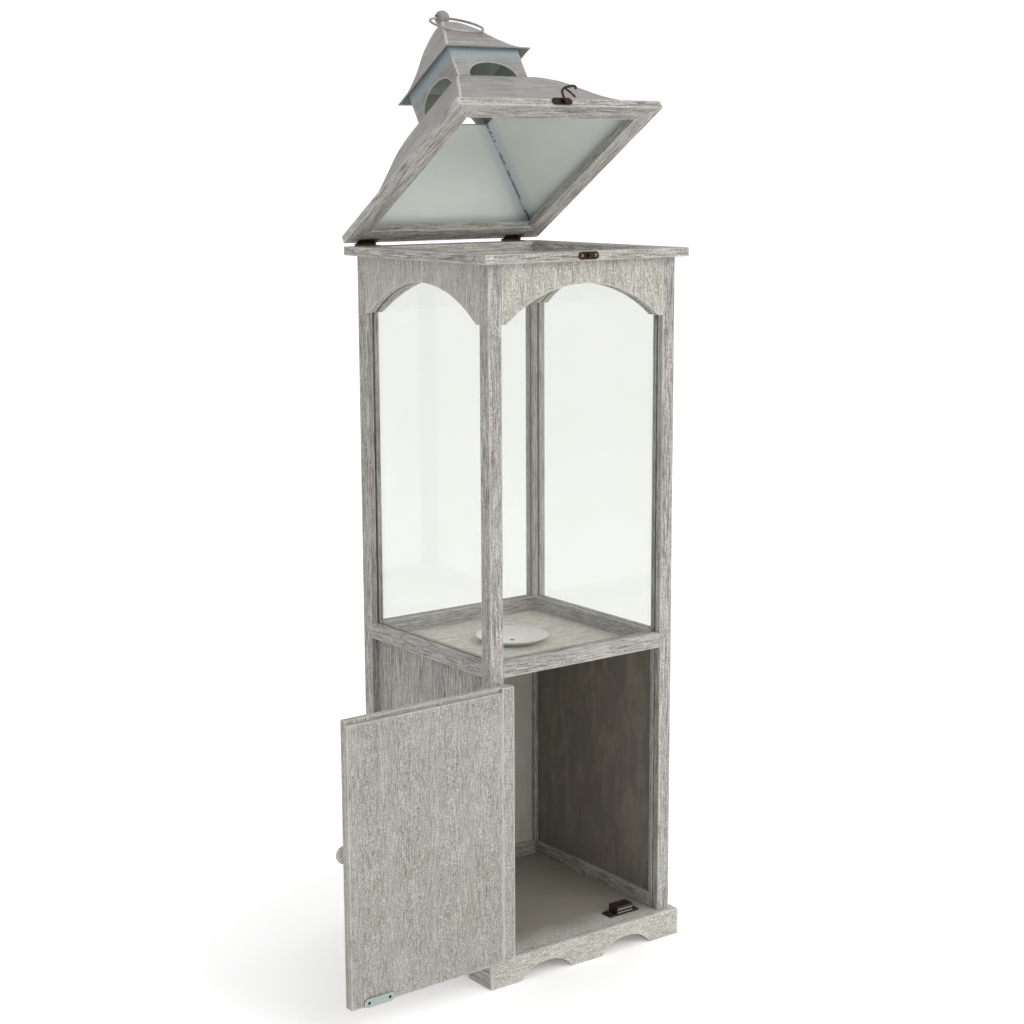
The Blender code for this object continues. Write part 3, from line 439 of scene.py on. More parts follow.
def grid_piece(name, points, ends, materials, values=None, inner_rows=0):
    """Mesh of a grid (row, place, 3) whose places run round in a ring.

    ends is join to tie the last row to the first, or cap to close both ends with a point.
    The first inner_rows rows of faces take the second material.
    """
    rows, count = points.shape[:2]
    index = np.arange(rows * count).reshape(rows, count)
    low, high = (index, np.roll(index, -1, axis=0)) if ends == "join" else (index[:-1], index[1:])
    quads = np.stack([low, np.roll(low, -1, axis=1), np.roll(high, -1, axis=1), high],
                     axis=-1)
    inner = np.arange(len(quads)) < inner_rows
    slots = np.repeat(inner.astype(int), count).tolist()
    faces = quads.reshape(-1, 4).tolist()
    spots = points.reshape(-1, 3)
    if ends == "cap":
        poles = points[[0, -1]].mean(axis=1)
        spots = np.vstack([spots, poles])
        for row, pole, order in ((index[0], len(spots) - 2, -1), (index[-1], len(spots) - 1, 1)):
            fan = np.stack([row, np.roll(row, -1), np.full(count, pole)], axis=-1)[:, ::order]
            faces += fan.tolist()
            slots += [int(inner_rows > 0 and order == -1)] * count
        if values is not None:
            values = np.concatenate([values.reshape(-1, values.shape[-1]),
                                     values[[0, -1]].mean(axis=1)])
    mesh = bpy.data.meshes.new(name)
    mesh.from_pydata(spots.tolist(), [], faces)
    corners = np.array([face[:3] for face in faces])
    a, b, c = (spots[corners[:, k]] for k in range(3))
    if np.einsum("ij,ij->i", a, np.cross(b, c)).sum() < 0:
        mesh.flip_normals()
    for material in materials:
        mesh.materials.append(material)
    mesh.polygons.foreach_set("material_index", slots)
    mesh.shade_smooth()
    mesh.set_sharp_from_angle(angle=math.radians(38))
    if values is not None:
        values = values.reshape(-1, 4)
        store = mesh.attributes.new("sheet", "FLOAT_VECTOR", "POINT")
        store.data.foreach_set("vector", values[:, :3].ravel())
        store = mesh.attributes.new("hip", "FLOAT", "POINT")
        store.data.foreach_set("value", values[:, 3].copy())
    made = bpy.data.objects.new(name, mesh)
    scene.collection.objects.link(made)
    return made


def sheet_shell(halves, levels, thickness):
    """The same profile moved inwards by a thickness along its own normal."""
    run_a, run_w = np.gradient(halves), np.gradient(levels)
    length = np.hypot(run_a, run_w)
    return halves - thickness * np.abs(run_w) / length, levels + thickness * run_a / length


def brushed_paint(name, tone="neutral"):
    """Grey oil paint brushed on sheet steel along the eaves, rubbed white on the hips."""
    made, tree, shader = new_material(name)
    flat = add(tree, "Attribute", {"attribute_name": "sheet"}).outputs["Vector"]
    near = add(tree, "Attribute", {"attribute_name": "hip"}).outputs["Fac"]
    hair = add(tree, "Mapping", {"Vector": flat, "Scale": (16.0, 620.0, 1.0)})
    hairs = noise(tree, hair, 1.0, 5.0, 0.7, 0.35)
    sweep = add(tree, "Mapping", {"Vector": flat, "Scale": (9.0, 120.0, 1.0)})
    sweeps = noise(tree, sweep, 1.0, 4.0, 0.6, 1.2)
    cloud = noise(tree, flat, 34.0, 6.0, 0.68, 0.6)
    grit = noise(tree, flat, 620.0, 3.0, 0.7)
    hair_share = ramp(tree, hairs, 0.32, 0.68)
    colour = blend(tree, hair_share, "605d59", "afaea8")
    sweep_share = ramp(tree, sweeps, 0.42, 0.60, high=0.8)
    colour = blend(tree, sweep_share, colour, "7c7576")
    cloud_share = ramp(tree, cloud, 0.42, 0.64, high=0.55)
    colour = blend(tree, cloud_share, colour, "a4a39e")
    grit_share = ramp(tree, grit, 0.58, 0.72, high=0.5)
    colour = blend(tree, grit_share, colour, "605b54")
    chips = add(tree, "Mapping", {"Vector": flat, "Scale": (260.0, 260.0, 1.0)})
    chips = noise(tree, chips, 1.0, 4.0, 0.7)
    ragged = ramp(tree, chips, 0.40, 0.56, 0.25, 1.0)
    hip_share = ramp(tree, near, 0.0015, 0.0002, high=0.85)
    hip_share = add(tree, "Math", {"operation": "MULTIPLY", 0: hip_share, 1: ragged})
    colour = blend(tree, hip_share, colour, "d2d1cc")
    if tone == "cool":
        up = add(tree, "SeparateXYZ", {0: flat})
        bare = add(tree, "MapRange", {"Value": up.outputs[1], "From Min": 0.018,
                                      "From Max": 0.034, "To Min": 0.10, "To Max": 0.85,
                                      "interpolation_type": "SMOOTHSTEP"})
        colour = blend(tree, bare, colour, "a3b1b8")
    height = add(tree, "Math", {"operation": "MULTIPLY_ADD", 0: hair_share, 1: 0.7,
                                2: sweep_share})
    bump = add(tree, "Bump", {"Height": height, "Strength": 0.5, "Distance": 0.0004})
    rough = ramp(tree, cloud, 0.3, 0.7, 0.48, 0.72)
    feed(tree, shader, {"Base Color": colour, "Normal": bump, "Roughness": rough,
                        "Specular IOR Level": 0.35})
    return made


painted = brushed_paint("brushed_oil_paint_on_steel")
painted_cool = brushed_paint("thin_oil_paint_on_steel", tone="cool")

# Inside, the sheet has only its pale primer, darkened to blue-grey towards the soldered hips:
# painted shade of the inside creases.
primed, tree, shader = new_material("pale_primer_on_steel")
flat = add(tree, "Attribute", {"attribute_name": "sheet"}).outputs["Vector"]
near = add(tree, "Attribute", {"attribute_name": "hip"}).outputs["Fac"]
cloud = noise(tree, flat, 26.0, 5.0, 0.6)
colour = blend(tree, cloud, "c8cdc7", "d6dbd6")
# Painted shade: darker and bluer within about 22 mm of each inner hip.
blue = add(tree, "MapRange", {"Value": near, "From Min": 0.022, "From Max": 0.001,
                              "To Max": 0.6, "interpolation_type": "SMOOTHSTEP"})
colour = blend(tree, blue, colour, "a9bac4")
solder = noise(tree, flat, 95.0, 4.0, 0.7)
solder = ramp(tree, solder, 0.44, 0.50)
joint = ramp(tree, near, 0.0009, 0.0003, high=0.8)
solder = add(tree, "Math", {"operation": "MULTIPLY", 0: solder, 1: joint})
colour = blend(tree, solder, colour, "4b5152")
bump = add(tree, "Bump", {"Height": cloud, "Strength": 0.2, "Distance": 0.001})
feed(tree, shader, {"Base Color": colour, "Normal": bump, "Roughness": 0.5})

# Inside the cupola and under the small roof the primer is painted darker grey-green: painted
# shade of these hollows.
dull, tree, shader = new_material("primer_on_steel_painted_shade")
spot = add(tree, "TexCoord", {}).outputs["Object"]
soot = noise(tree, spot, 55.0, 5.0, 0.6)
colour = blend(tree, soot, "6f776f", "98a099")
feed(tree, shader, {"Base Color": colour, "Roughness": 0.6})


def dented(points, depth):
    """Push points in and out of the lantern's axis by slow waves, as hand-folded sheet is."""
    x, y, z = points[..., 0], points[..., 1] - MIDDLE_Y, points[..., 2]
    wave = np.sin(41 * x + 23 * z + 1.3) * np.sin(37 * y - 31 * z) + 0.5 * np.sin(93 * z + 70 * x)
    reach = 1 + depth * wave / np.maximum(np.hypot(x, y), 0.02)
    return np.stack([x * reach, y * reach + MIDDLE_Y, z], axis=-1)


line = smooth_line(OGEE, 48)
outer_a = ROOF_FOOT + (ROOF_HEAD - ROOF_FOOT) * line[:, 0]
outer_w = FRAME_TOP + ROOF_RISE * line[:, 1]
inner_a, inner_w = sheet_shell(outer_a, outer_w, SHEET)
keep = inner_a > THROAT + SHEET / 4
inner_w[0] = outer_w[0]
inner_a[0] = outer_a[0] - 0.003
profile_a = np.concatenate([[THROAT], inner_a[keep][::-1], outer_a, [THROAT]])
profile_w = np.concatenate([[outer_w[-1] - SHEET], inner_w[keep][::-1], outer_w,
                            [outer_w[-1]]])
rings, values = square_rings(profile_a, profile_w, HIP_FOLD)
roof = grid_piece("ogee_roof_sheet", open_lid(dented(rings, 0.0003)), "join",
                  (painted, primed), values, inner_rows=int(keep.sum()))
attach(roof, "lid")
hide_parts("main_roof")

# ---------------------------------------------------------------------------------------
# Cupola.  Four upright sheet walls soldered at the corners, each with an arched window
# whose cut edge is turned round a wire, and painted thinner than the roof.
CUPOLA_FOOT = FRAME_TOP + ROOF_RISE + 0.0003
EAVE = CUPOLA_FOOT + 0.0347   # height of the small roof's eave, shut lid
WINDOW_HALF = 0.0352
WINDOW_RISE = 0.0205
LEG_POINTS, ARCH_POINTS = 6, 41

wall_top = EAVE + 0.0068
straight = ROOF_HEAD - HIP_FOLD
leg = np.linspace(-straight, -WINDOW_HALF, LEG_POINTS)[:-1]
sweep = np.linspace(0.0, math.pi, ARCH_POINTS)
across = np.concatenate([leg, -WINDOW_HALF * np.cos(sweep), -leg[::-1]])
sill = np.concatenate([0 * leg, WINDOW_RISE * np.sin(sweep), 0 * leg])
turn = np.linspace(-math.pi / 2, 0.0, 6)[1:-1]


def wall_row(half, share):
    """One ring of the cupola wall at a half width: share 0 follows the arches, 1 is the top."""
    grow = half - ROOF_HEAD
    x = np.concatenate([across, straight + (HIP_FOLD + grow) * np.cos(turn)])
    y = np.concatenate([-half + 0 * across, -straight + (HIP_FOLD + grow) * np.sin(turn)])
    edge = np.concatenate([sill, 0 * turn])
    z = CUPOLA_FOOT + edge + share * (wall_top - CUPOLA_FOOT - edge)
    hip = np.maximum(straight - np.abs(x), 0.0) + 0.0004
    spots, marks = [], []
    a, b = x, y
    for face in range(4):
        spots.append(np.stack([a, b + MIDDLE_Y, z], axis=-1))
        marks.append(np.stack([x, z - CUPOLA_FOOT, face * 1.7 + 4 + 0 * x, hip], axis=-1))
        a, b = -b, a
    return np.concatenate(spots), np.concatenate(marks)


shares = np.linspace(0.0, 1.0, 9)
wall = ([wall_row(ROOF_HEAD - SHEET, share) for share in shares]
        + [wall_row(ROOF_HEAD, share) for share in shares[::-1]])
rings = np.stack([row for row, _ in wall])
values = np.stack([marks for _, marks in wall])
cupola = grid_piece("cupola_walls", open_lid(rings), "join", (painted_cool, dull), values,
                    inner_rows=len(shares) - 1)
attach(cupola, "lid")
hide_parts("cupola")


def tube(path, radius, sides=10):
    """Rings of radius about the points of a path, square to its run.

    The ring is spanned by the run crossed with a fixed direction that the path never takes.
    """
    path = np.asarray(path, float)
    run = np.gradient(path, axis=0)
    run /= np.linalg.norm(run, axis=1, keepdims=True)
    fixed = np.eye(3)[np.argmin(np.abs(run).max(axis=0))]
    side = np.cross(run, fixed)
    side /= np.linalg.norm(side, axis=1, keepdims=True)
    lift = np.cross(side, run)
    angle = np.linspace(0, 2 * math.pi, sides, endpoint=False)[None, :, None]
    return (path[:, None, :] + radius * np.cos(angle) * side[:, None, :]
            + radius * np.sin(angle) * lift[:, None, :])


bead = np.stack([-WINDOW_HALF * np.cos(sweep), np.full_like(sweep, -(ROOF_HEAD - SHEET / 2)),
                 CUPOLA_FOOT + WINDOW_RISE * np.sin(sweep)], axis=-1)
for side in ("front", "right", "back", "left"):
    path = bead + np.array([0.0, MIDDLE_Y, 0.0])
    rings = open_lid(tube(path, 0.0010))
    length = np.linspace(0.0, 0.1, len(rings))[:, None]
    angle = np.arange(10)[None, :] * 0.0006
    marks = np.stack([length + 0 * angle, angle + 0 * length, 2.0 + 0 * (length + angle),
                      0.0008 + 0 * (length + angle)], axis=-1)
    rim = grid_piece("window_bead_" + side, rings, "cap", (painted,), marks)
    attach(rim, "lid")
    bead = np.stack([-bead[:, 1], bead[:, 0], bead[:, 2]], axis=-1)

# ---------------------------------------------------------------------------------------
# Small roof and ball.  A folded sheet spire with hollow curves, its eave left as a raw
# edge; a turned steel ball with a cross hole sits on a collar at its point.
SPIRE_HALF = 0.063
SPIRE_NECK = 0.0052
SPIRE_RISE = 0.0765
SPIRE = ((0.0, 0.0), (0.20, 0.135), (0.42, 0.385), (0.66, 0.71), (0.88, 0.935), (1.0, 1.0))
BALL = 0.0093
BALL_HOLE = 0.0034
ball_level = EAVE + SPIRE_RISE + 0.0095

line = smooth_line(SPIRE, 40)
outer_a = SPIRE_HALF + (SPIRE_NECK - SPIRE_HALF) * line[:, 0]
outer_w = EAVE + SPIRE_RISE * line[:, 1]
inner_a, inner_w = sheet_shell(outer_a, outer_w, SHEET)
inner_a[0], inner_w[0] = outer_a[0] - 0.0024, outer_w[0]
keep = inner_a > 0.0022
profile_a = np.concatenate([inner_a[keep][::-1], outer_a])
profile_w = np.concatenate([inner_w[keep][::-1], outer_w])
rings, values = square_rings(profile_a, profile_w, 0.0013)
edge_row = int(keep.sum())    # first outer row: the raw eave edge, where the paint is thin
values[edge_row - 1:edge_row + 1, :, 3] = 0.0007
spire = grid_piece("spire_sheet", open_lid(dented(rings, 0.0002)), "cap",
                   (painted, dull), values, inner_rows=edge_row - 1)
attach(spire, "lid")
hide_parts("small_roof")


def turned_rings(radii, heights, steps=40):
    """Rings about +Z from a profile: (r cos t, r sin t, h)."""
    angle = np.linspace(0, 2 * math.pi, steps, endpoint=False)[None, :]
    radii, heights = np.asarray(radii)[:, None], np.asarray(heights)[:, None]
    return np.stack([radii * np.cos(angle), radii * np.sin(angle), heights + 0 * angle],
                    axis=-1)


def turned_marks(rings, seed, wear):
    """Pattern values for turned rings: place round, place up, a seed, and the paint's wear."""
    rows, count = rings.shape[:2]
    place = np.linspace(-0.03, 0.03, count)[None, :] + np.zeros((rows, 1))
    up = np.linspace(0.0, 0.02, rows)[:, None] + np.zeros((1, count))
    return np.stack([place, up, seed + 0 * up, wear + 0 * up], axis=-1)


# The ball is a bead about the X axis: its outer arc, then the hole's wall back again.
start = math.asin(BALL_HOLE / BALL)
arc = np.linspace(start, math.pi - start, 25)
radii = np.concatenate([BALL * np.sin(arc), np.full(5, BALL_HOLE)])
widths = np.concatenate([BALL * np.cos(arc),
                         np.linspace(-1, 1, 7)[1:-1] * BALL * math.cos(start)])
bead = turned_rings(radii, widths)
marks = turned_marks(bead, 11.0, 0.0020)
bead = np.stack([bead[..., 2], bead[..., 0] + MIDDLE_Y, bead[..., 1] + ball_level], axis=-1)
ball = grid_piece("finial_ball", open_lid(bead), "join", (painted,), marks)
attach(ball, "lid")

neck = outer_w[-1]
collar = turned_rings([0.0035, 0.0058, 0.0064, 0.0058, 0.0047, 0.0042, 0.0040],
                      [-0.0012, -0.0010, -0.0002, 0.0005, 0.0009, 0.0014, 0.0022])
marks = turned_marks(collar, 13.0, 0.0011)
collar = collar + np.array([0.0, MIDDLE_Y, neck])
collar = grid_piece("finial_collar", open_lid(collar), "cap", (painted,), marks)
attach(collar, "lid")

# Carrying ring.  Round steel wire bent to a circle through the ball and painted with the
# roof; the paint is rubbed where it swings.
ring_joint = next(joint for joint in frame["joints"] if joint["child"] == "ring")
RING = 0.033
WIRE = 0.0016
RING_DROP = math.radians(50.5)
angle = np.linspace(0, 2 * math.pi, 96, endpoint=False)
hang = LID_TILT - RING_DROP   # the ring's plane, measured down from level towards the front
path = np.stack([RING * np.sin(angle), -RING + RING * np.cos(angle), 0 * angle], axis=-1)
cos, sin = math.cos(-hang), math.sin(-hang)
path = np.stack([path[:, 0], path[:, 1] * cos - path[:, 2] * sin,
                 path[:, 1] * sin + path[:, 2] * cos], axis=-1)
radial = path - np.array([0.0, -RING * cos, -RING * sin])
radial /= np.linalg.norm(radial, axis=1, keepdims=True)
normal = np.array([0.0, -sin, cos])
turn = np.linspace(0, 2 * math.pi, 14, endpoint=False)[None, :, None]
rings = (path[:, None, :] + WIRE * np.cos(turn) * radial[:, None, :]
         + WIRE * np.sin(turn) * normal)
marks = np.stack(np.broadcast_arrays(angle[:, None] * RING, turn[..., 0] * 0.0016, 21.0,
                                     0.0012 + 0.0005 * np.sin(3 * angle[:, None])), axis=-1)
ring = grid_piece("wire_ring", rings + np.array(ring_joint["pos_m"]), "join", (painted,), marks)
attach(ring, "ring")
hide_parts("carrying_ring")

# ---------------------------------------------------------------------------------------
# Hinges, latch and eye.  Stamped brass with a dark antique finish, gold on its edges: partly
# rubbed brass and partly painted glints; each plate is held by small domed screws.
bronze, tree, shader = new_material("antiqued_brass")
spot = add(tree, "TexCoord", {}).outputs["Object"]
cloud = noise(tree, spot, 420.0, 4.0, 0.65)
arris = add(tree, "AmbientOcclusion", {"samples": 4, "inside": True, "only_local": True,
                                       "Distance": 0.0007})
# Gold on edges and patches: rubbed brass with painted glints.
rubbed = ramp(tree, arris.outputs["AO"], 0.75, 0.35, high=0.8)
patch = ramp(tree, cloud, 0.44, 0.56)
gold = add(tree, "Math", {"operation": "MULTIPLY", 0: rubbed, 1: patch})
colour = blend(tree, cloud, "1c1613", "3c2d21")
colour = blend(tree, gold, colour, "c99a4b")
bump = add(tree, "Bump", {"Height": cloud, "Strength": 0.3, "Distance": 0.0002})
rough = ramp(tree, cloud, 0.35, 0.65, 0.32, 0.52)
feed(tree, shader, {"Base Color": colour, "Normal": bump, "Roughness": rough, "Metallic": 0.85})
dress([name for name in nodes if name.endswith("_leaf")], bronze)
dress(("eye_plate", "latch_plate", "hook"), bronze)


def along_axis(rings, middle, axis):
    """Stand rings made about +Z on a point, with their top facing along a signed axis."""
    x, y, z = rings[..., 0], rings[..., 1], rings[..., 2]
    faced = {"+Z": (x, y, z), "-Y": (x, -z, y), "+Y": (x, z, -y)}[axis]
    return np.stack(faced, axis=-1) + np.asarray(middle, float)


def heads(name, middles, axis, radius, rise, material, place=None):
    """Low domed heads of nails or screws as one piece: r = R cos t, h = rise sin t."""
    angle = np.linspace(0.0, math.pi / 2, 5)[:-1]
    profile = turned_rings(np.concatenate([[radius], radius * np.cos(angle)]),
                           np.concatenate([[-0.0003], rise * np.sin(angle)]), 12)
    spots, faces = [], []
    rows, count = profile.shape[:2]
    index = np.arange(rows * count).reshape(rows, count)
    quads = np.stack([index[:-1], np.roll(index[:-1], -1, axis=1),
                      np.roll(index[1:], -1, axis=1), index[1:]], axis=-1).reshape(-1, 4)
    for k, middle in enumerate(middles):
        dome = along_axis(profile, middle, axis)
        tip = along_axis(np.array([[[0.0, 0.0, rise]]]), middle, axis)
        foot = along_axis(np.array([[[0.0, 0.0, -0.0003]]]), middle, axis)
        base = k * (rows * count + 2)
        spots += [dome.reshape(-1, 3), tip.reshape(-1, 3), foot.reshape(-1, 3)]
        faces += (quads + base).tolist()
        top, low = base + index[-1], base + index[0]
        faces += np.stack([top, np.roll(top, -1), np.full(count, base + rows * count)],
                          axis=-1).tolist()
        faces += np.stack([np.roll(low, -1), low, np.full(count, base + rows * count + 1)],
                          axis=-1).tolist()
    spots = np.concatenate(spots)
    if place:
        spots = place(spots)
    mesh = bpy.data.meshes.new(name)
    mesh.from_pydata(spots.tolist(), [], faces)
    mesh.materials.append(material)
    mesh.shade_smooth()
    made = bpy.data.objects.new(name, mesh)
    scene.collection.objects.link(made)
    return made


eye_low, eye_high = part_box("eye_plate")
eye_x = (eye_low.x + eye_high.x) / 2
eye_z = (eye_low.z + eye_high.z) / 2
rim_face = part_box("rim_front")[0].y
PLATE = 0.0015                # gap and thickness of a plate on its board
SCREW_REACH = 0.0100          # plate's middle to its screws
screws = heads("eye_plate_screws", [(eye_x + sign * SCREW_REACH, rim_face - PLATE, eye_z)
                                    for sign in (-1, 1)], "-Y", 0.0021, 0.0002, bronze)
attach(screws, "base")
latch_x = (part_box("latch_plate")[0].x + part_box("latch_plate")[1].x) / 2
lid_face = MIDDLE_Y - 0.1478  # front of the lid's frame, shut lid
screws = heads("latch_plate_screws",
               [(latch_x + sign * SCREW_REACH, lid_face - PLATE, LID_UNDER + 0.0056)
                for sign in (-1, 1)], "-Y", 0.0021, 0.0008, bronze, place=open_lid)
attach(screws, "lid")
for tag in ("left", "right"):
    low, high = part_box("lid_hinge_" + tag + "_fixed_leaf")
    spots = [(low.x + share * (high.x - low.x), low.y + 0.0045,
              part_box("rim_back")[1].z + 0.00085) for share in (0.2, 0.5, 0.8)]
    screws = heads("lid_hinge_screws_" + tag, spots, "+Z", 0.0016, 0.0003, bronze)
    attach(screws, "base")

# Nails.  Bright wire nails punched just under the wash and rusted a little: along the rim
# and the lid's mitres, and round the edge of the door's lining.
rusty, tree, shader = new_material("punched_nail_heads")
spot = add(tree, "TexCoord", {}).outputs["Object"]
cloud = noise(tree, spot, 700.0, 3.0)
colour = blend(tree, cloud, "4c4640", "84796c")
feed(tree, shader, {"Base Color": colour, "Roughness": 0.6, "Metallic": 0.3})
RIM_NAIL, LID_NAIL = 0.135, 0.1415    # lantern's middle to the nails near the corners
rim_low, rim_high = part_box("rim_front")
spots = [(sign * RIM_NAIL, rim_low.y, rim_high.z - 0.0028) for sign in (-1, 1)]
nails = heads("rim_front_nails", spots, "-Y", 0.0010, 0.0001, rusty)
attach(nails, "base")
spots = [(sign * LID_NAIL, lid_face, LID_UNDER + 0.0062) for sign in (-1, 1)]
nails = heads("lid_front_nails", spots, "-Y", 0.0011, 0.0001, rusty, place=open_lid)
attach(nails, "lid")

# ---------------------------------------------------------------------------------------
# Candle dish.  A pressed steel saucer with white stoved enamel and a rolled lip, fixed by
# one screw in its middle.
enamel, tree, shader = new_material("white_stoved_enamel")
spot = add(tree, "TexCoord", {}).outputs["Object"]
cloud = noise(tree, spot, 60.0, 3.0)
colour = blend(tree, cloud, "d3d1cb", "dedcd7")
bump = add(tree, "Bump", {"Height": cloud, "Strength": 0.1, "Distance": 0.0005})
feed(tree, shader, {"Base Color": colour, "Normal": bump, "Roughness": 0.32, "Coat Weight": 0.3})
dish_low, dish_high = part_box("candle_dish")
dish_middle = ((dish_low.x + dish_high.x) / 2, (dish_low.y + dish_high.y) / 2, dish_low.z)
DISH_RADIUS = 0.0445
DISH_FLAT = 0.026
DISH_RISE = 0.0070
WALL = 0.0009
t = np.linspace(0.0, 1.0, 12)
lip = np.linspace(0.0, math.pi, 7)[1:-1]
under_r = np.concatenate([[0.004, 0.015], DISH_FLAT + (DISH_RADIUS - DISH_FLAT) * t])
under_h = np.concatenate([[0.0, 0.0], DISH_RISE * t ** 1.6])
radii = np.concatenate([under_r, DISH_RADIUS + WALL * np.sin(lip) * 0.9, under_r[::-1]])
heights = np.concatenate([under_h, DISH_RISE + WALL * (0.5 - 0.9 * np.cos(lip)) + 0.0003,
                          under_h[::-1] + WALL])
saucer = turned_rings(radii, heights, 72) + np.array(dish_middle)
saucer = grid_piece("enamel_saucer", saucer, "cap", (enamel,))
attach(saucer, "base")
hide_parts("candle_dish")
screw = heads("saucer_screw", [(dish_middle[0], dish_middle[1], dish_low.z + WALL)], "+Z",
              0.0030, 0.0009, rusty)
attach(screw, "base")

# ---------------------------------------------------------------------------------------
# Door.  A flat limed fir frame with a limed plywood lining nailed behind it; it stands
# wide open, so its lining faces the front.
door_joint = next(joint for joint in frame["joints"] if joint["child"] == "door")
DOOR_PIVOT = np.array(door_joint["pos_m"])
DOOR_SWING = -math.radians(door_joint["range_deg"][1])
DOOR_LEFT, DOOR_RIGHT = -0.1160, 0.1137       # shut door
LINING_LEFT = DOOR_LEFT + 0.0005
LINING_BACK = 0.0117          # inner face of the lining, shut door
lining_low, lining_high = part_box("door_lining")


def open_door(points):
    """Turn points of the shut door about its hinge pin to where the door stands open."""
    points = np.asarray(points, float)
    x, y = points[..., 0] - DOOR_PIVOT[0], points[..., 1] - DOOR_PIVOT[1]
    cos, sin = math.cos(DOOR_SWING), math.sin(DOOR_SWING)
    return np.stack([DOOR_PIVOT[0] + x * cos - y * sin, DOOR_PIVOT[1] + x * sin + y * cos,
                     points[..., 2]], axis=-1)


door_upright = pickled_wood("limed_fir_door_upright", "Z", shift=0.37, lift=1.04, fine=True)
door_cross = pickled_wood("limed_fir_door_crosswise", "X", shift=0.19, lift=1.04, fine=True)
lining_wood = pickled_wood("limed_ply_lining", "Z", shift=0.93, fine=True)
dress(("door_stile_hinge", "door_stile_free"), door_upright)
dress(("door_rail_bottom", "door_rail_top"), door_cross)
dress(("door_lining",), lining_wood)

MARGIN = 0.0065               # lining's edge to its nails
PITCH = 0.050
x0, x1 = LINING_LEFT + 0.6 * MARGIN, DOOR_RIGHT - MARGIN
z0, z1 = lining_low.z + MARGIN, lining_high.z - MARGIN
columns = np.linspace(z0, z1, round((z1 - z0) / PITCH) + 1)
row = np.linspace(x0, x1, round((x1 - x0) / PITCH) + 1)[1:-1]
spots = [(x, LINING_BACK, z) for x in (x0, x1) for z in columns]
spots += [(x, LINING_BACK, z) for z in (z0, z1) for x in row]
nails = heads("lining_nails", spots, "+Y", 0.0010, 0.0001, rusty, place=open_door)
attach(nails, "door")

# Knob.  A small turned beech mushroom, painted with the same wash.
knob_wood, tree, shader = new_material("limed_beech_knob")
spot = add(tree, "TexCoord", {}).outputs["Object"]
stripe = add(tree, "Mapping", {"Vector": spot, "Scale": (700.0, 90.0, 700.0)})
stripes = noise(tree, stripe, 1.0, 4.0, 0.6)
share = ramp(tree, stripes, 0.35, 0.65)
colour = blend(tree, share, "979289", "bcb9b2")
chalk = noise(tree, spot, 520.0, 3.0)
chalk = ramp(tree, chalk, 0.56, 0.68, high=0.7)
colour = blend(tree, chalk, colour, "d2d0cd")
bump = add(tree, "Bump", {"Height": share, "Strength": 0.4, "Distance": 0.0003})
feed(tree, shader, {"Base Color": colour, "Normal": bump, "Roughness": 0.62})
KNOB_HALF = 0.0105
KNOB_LENGTH = 0.020
KNOB_Z = 0.208
KNOB_EDGE = 0.011             # door's free edge to the middle of the knob
knob_x = DOOR_RIGHT - KNOB_EDGE
door_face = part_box("post_front_left")[0].y
cap = np.linspace(-1.0, math.pi / 2, 18)[:-1]
radii = np.concatenate([[0.0022, 0.0060, 0.0062, 0.0058, 0.0046, 0.0041, 0.0041, 0.0047],
                        KNOB_HALF * np.cos(cap)])
heights = np.concatenate([[0.0, 0.0, 0.0008, 0.0017, 0.0026, 0.0036, 0.0044, 0.0050],
                          KNOB_LENGTH * (0.65 + 0.35 * np.sin(cap))])
knob = along_axis(turned_rings(radii, heights, 48), (knob_x, door_face - 0.0003, KNOB_Z), "-Y")
knob = grid_piece("turned_knob", open_door(knob), "cap", (knob_wood,))
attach(knob, "door")
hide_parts("door_knob")

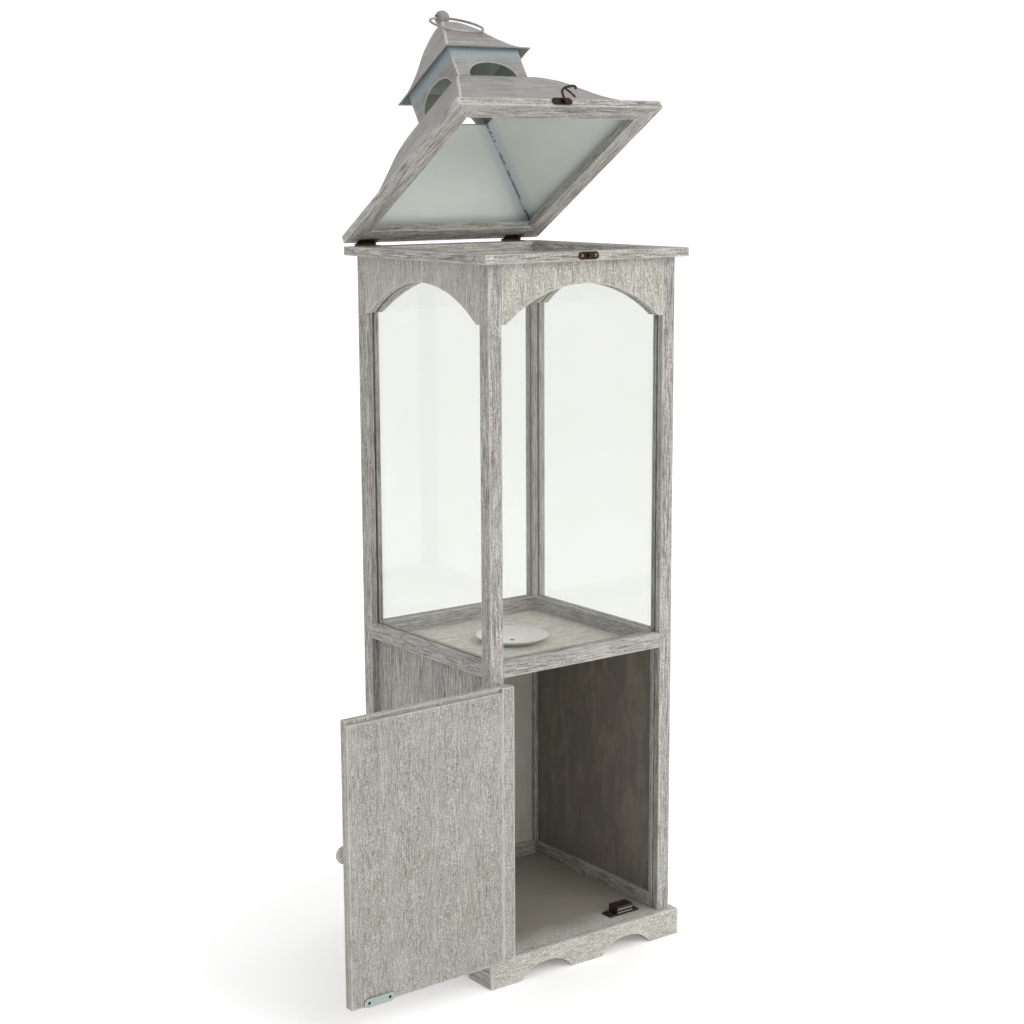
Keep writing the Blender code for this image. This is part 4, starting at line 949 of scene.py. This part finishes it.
# Strike plate.  Zinc plated steel with two countersunk dark screws.
zinc, tree, shader = new_material("bright_zinc_plate")
spot = add(tree, "TexCoord", {}).outputs["Object"]
brush = add(tree, "Mapping", {"Vector": spot, "Scale": (120.0, 1200.0, 1200.0)})
brush = noise(tree, brush, 1.0, 3.0)
colour = blend(tree, brush, "94a29b", "b4c0ba")
rough = ramp(tree, brush, 0.3, 0.7, 0.28, 0.42)
feed(tree, shader, {"Base Color": colour, "Roughness": rough, "Metallic": 0.9})
dress(("strike_plate",), zinc)
dark_steel, tree, shader = new_material("blackened_steel_screw")
spot = add(tree, "TexCoord", {}).outputs["Object"]
cloud = noise(tree, spot, 900.0, 3.0)
colour = blend(tree, cloud, "141312", "33302d")
feed(tree, shader, {"Base Color": colour, "Roughness": 0.45, "Metallic": 0.6})
strike_low, strike_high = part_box("strike_plate")
STRIKE_EDGE = 0.036           # door's free edge to the middle of the plate
STRIKE_SCREW = 0.014          # plate's middle to its screws
strike_x = DOOR_RIGHT - STRIKE_EDGE
strike_z = (strike_low.z + strike_high.z) / 2
spots = [(strike_x + sign * STRIKE_SCREW, LINING_BACK + 0.0016, strike_z) for sign in (-1, 1)]
screws = heads("strike_screws", spots, "+Y", 0.0025, 0.0003, dark_steel, place=open_door)
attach(screws, "door")

# Magnetic catch.  A moulded dark brown plastic housing on a screwed flange, with the two
# steel pole plates of its magnet showing as bright strips at the front.
plastic, tree, shader = new_material("moulded_brown_plastic")
spot = add(tree, "TexCoord", {}).outputs["Object"]
grain = noise(tree, spot, 1500.0, 2.0)
colour = blend(tree, grain, "1d1411", "2f211b")
bump = add(tree, "Bump", {"Height": grain, "Strength": 0.15, "Distance": 0.0002})
feed(tree, shader, {"Base Color": colour, "Normal": bump, "Roughness": 0.42})
dress(("magnetic_catch",), plastic)
catch_low, catch_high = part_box("magnetic_catch")
catch_x = (catch_low.x + catch_high.x) / 2
half_length, half_height, depth = 0.0118, 0.0007, 0.0002
turn = np.linspace(0, 2 * math.pi, 24, endpoint=False)
for tag, level in (("lower", 0.0380), ("upper", 0.0422)):
    # A flat strip with round ends: |cos| and |sin| raised to a small power.
    x = catch_x + half_length * np.sign(np.cos(turn)) * np.abs(np.cos(turn)) ** 0.3
    z = level + half_height * np.sign(np.sin(turn)) * np.abs(np.sin(turn)) ** 0.6
    strip = np.stack([np.stack([x, catch_low.y + y + 0 * x, z], axis=-1)
                      for y in (0.0012, -depth)])
    strip = grid_piece("catch_pole_" + tag, strip, "cap", (zinc,))
    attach(strip, "base")
middle_y = (catch_low.y + catch_high.y) / 2
CATCH_SCREW = 0.0178          # catch's middle to its screws
spots = [(catch_x + sign * CATCH_SCREW, middle_y, catch_low.z + 0.0020) for sign in (-1, 1)]
screws = heads("catch_screws", spots, "+Z", 0.0026, 0.0012, plastic)
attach(screws, "base")
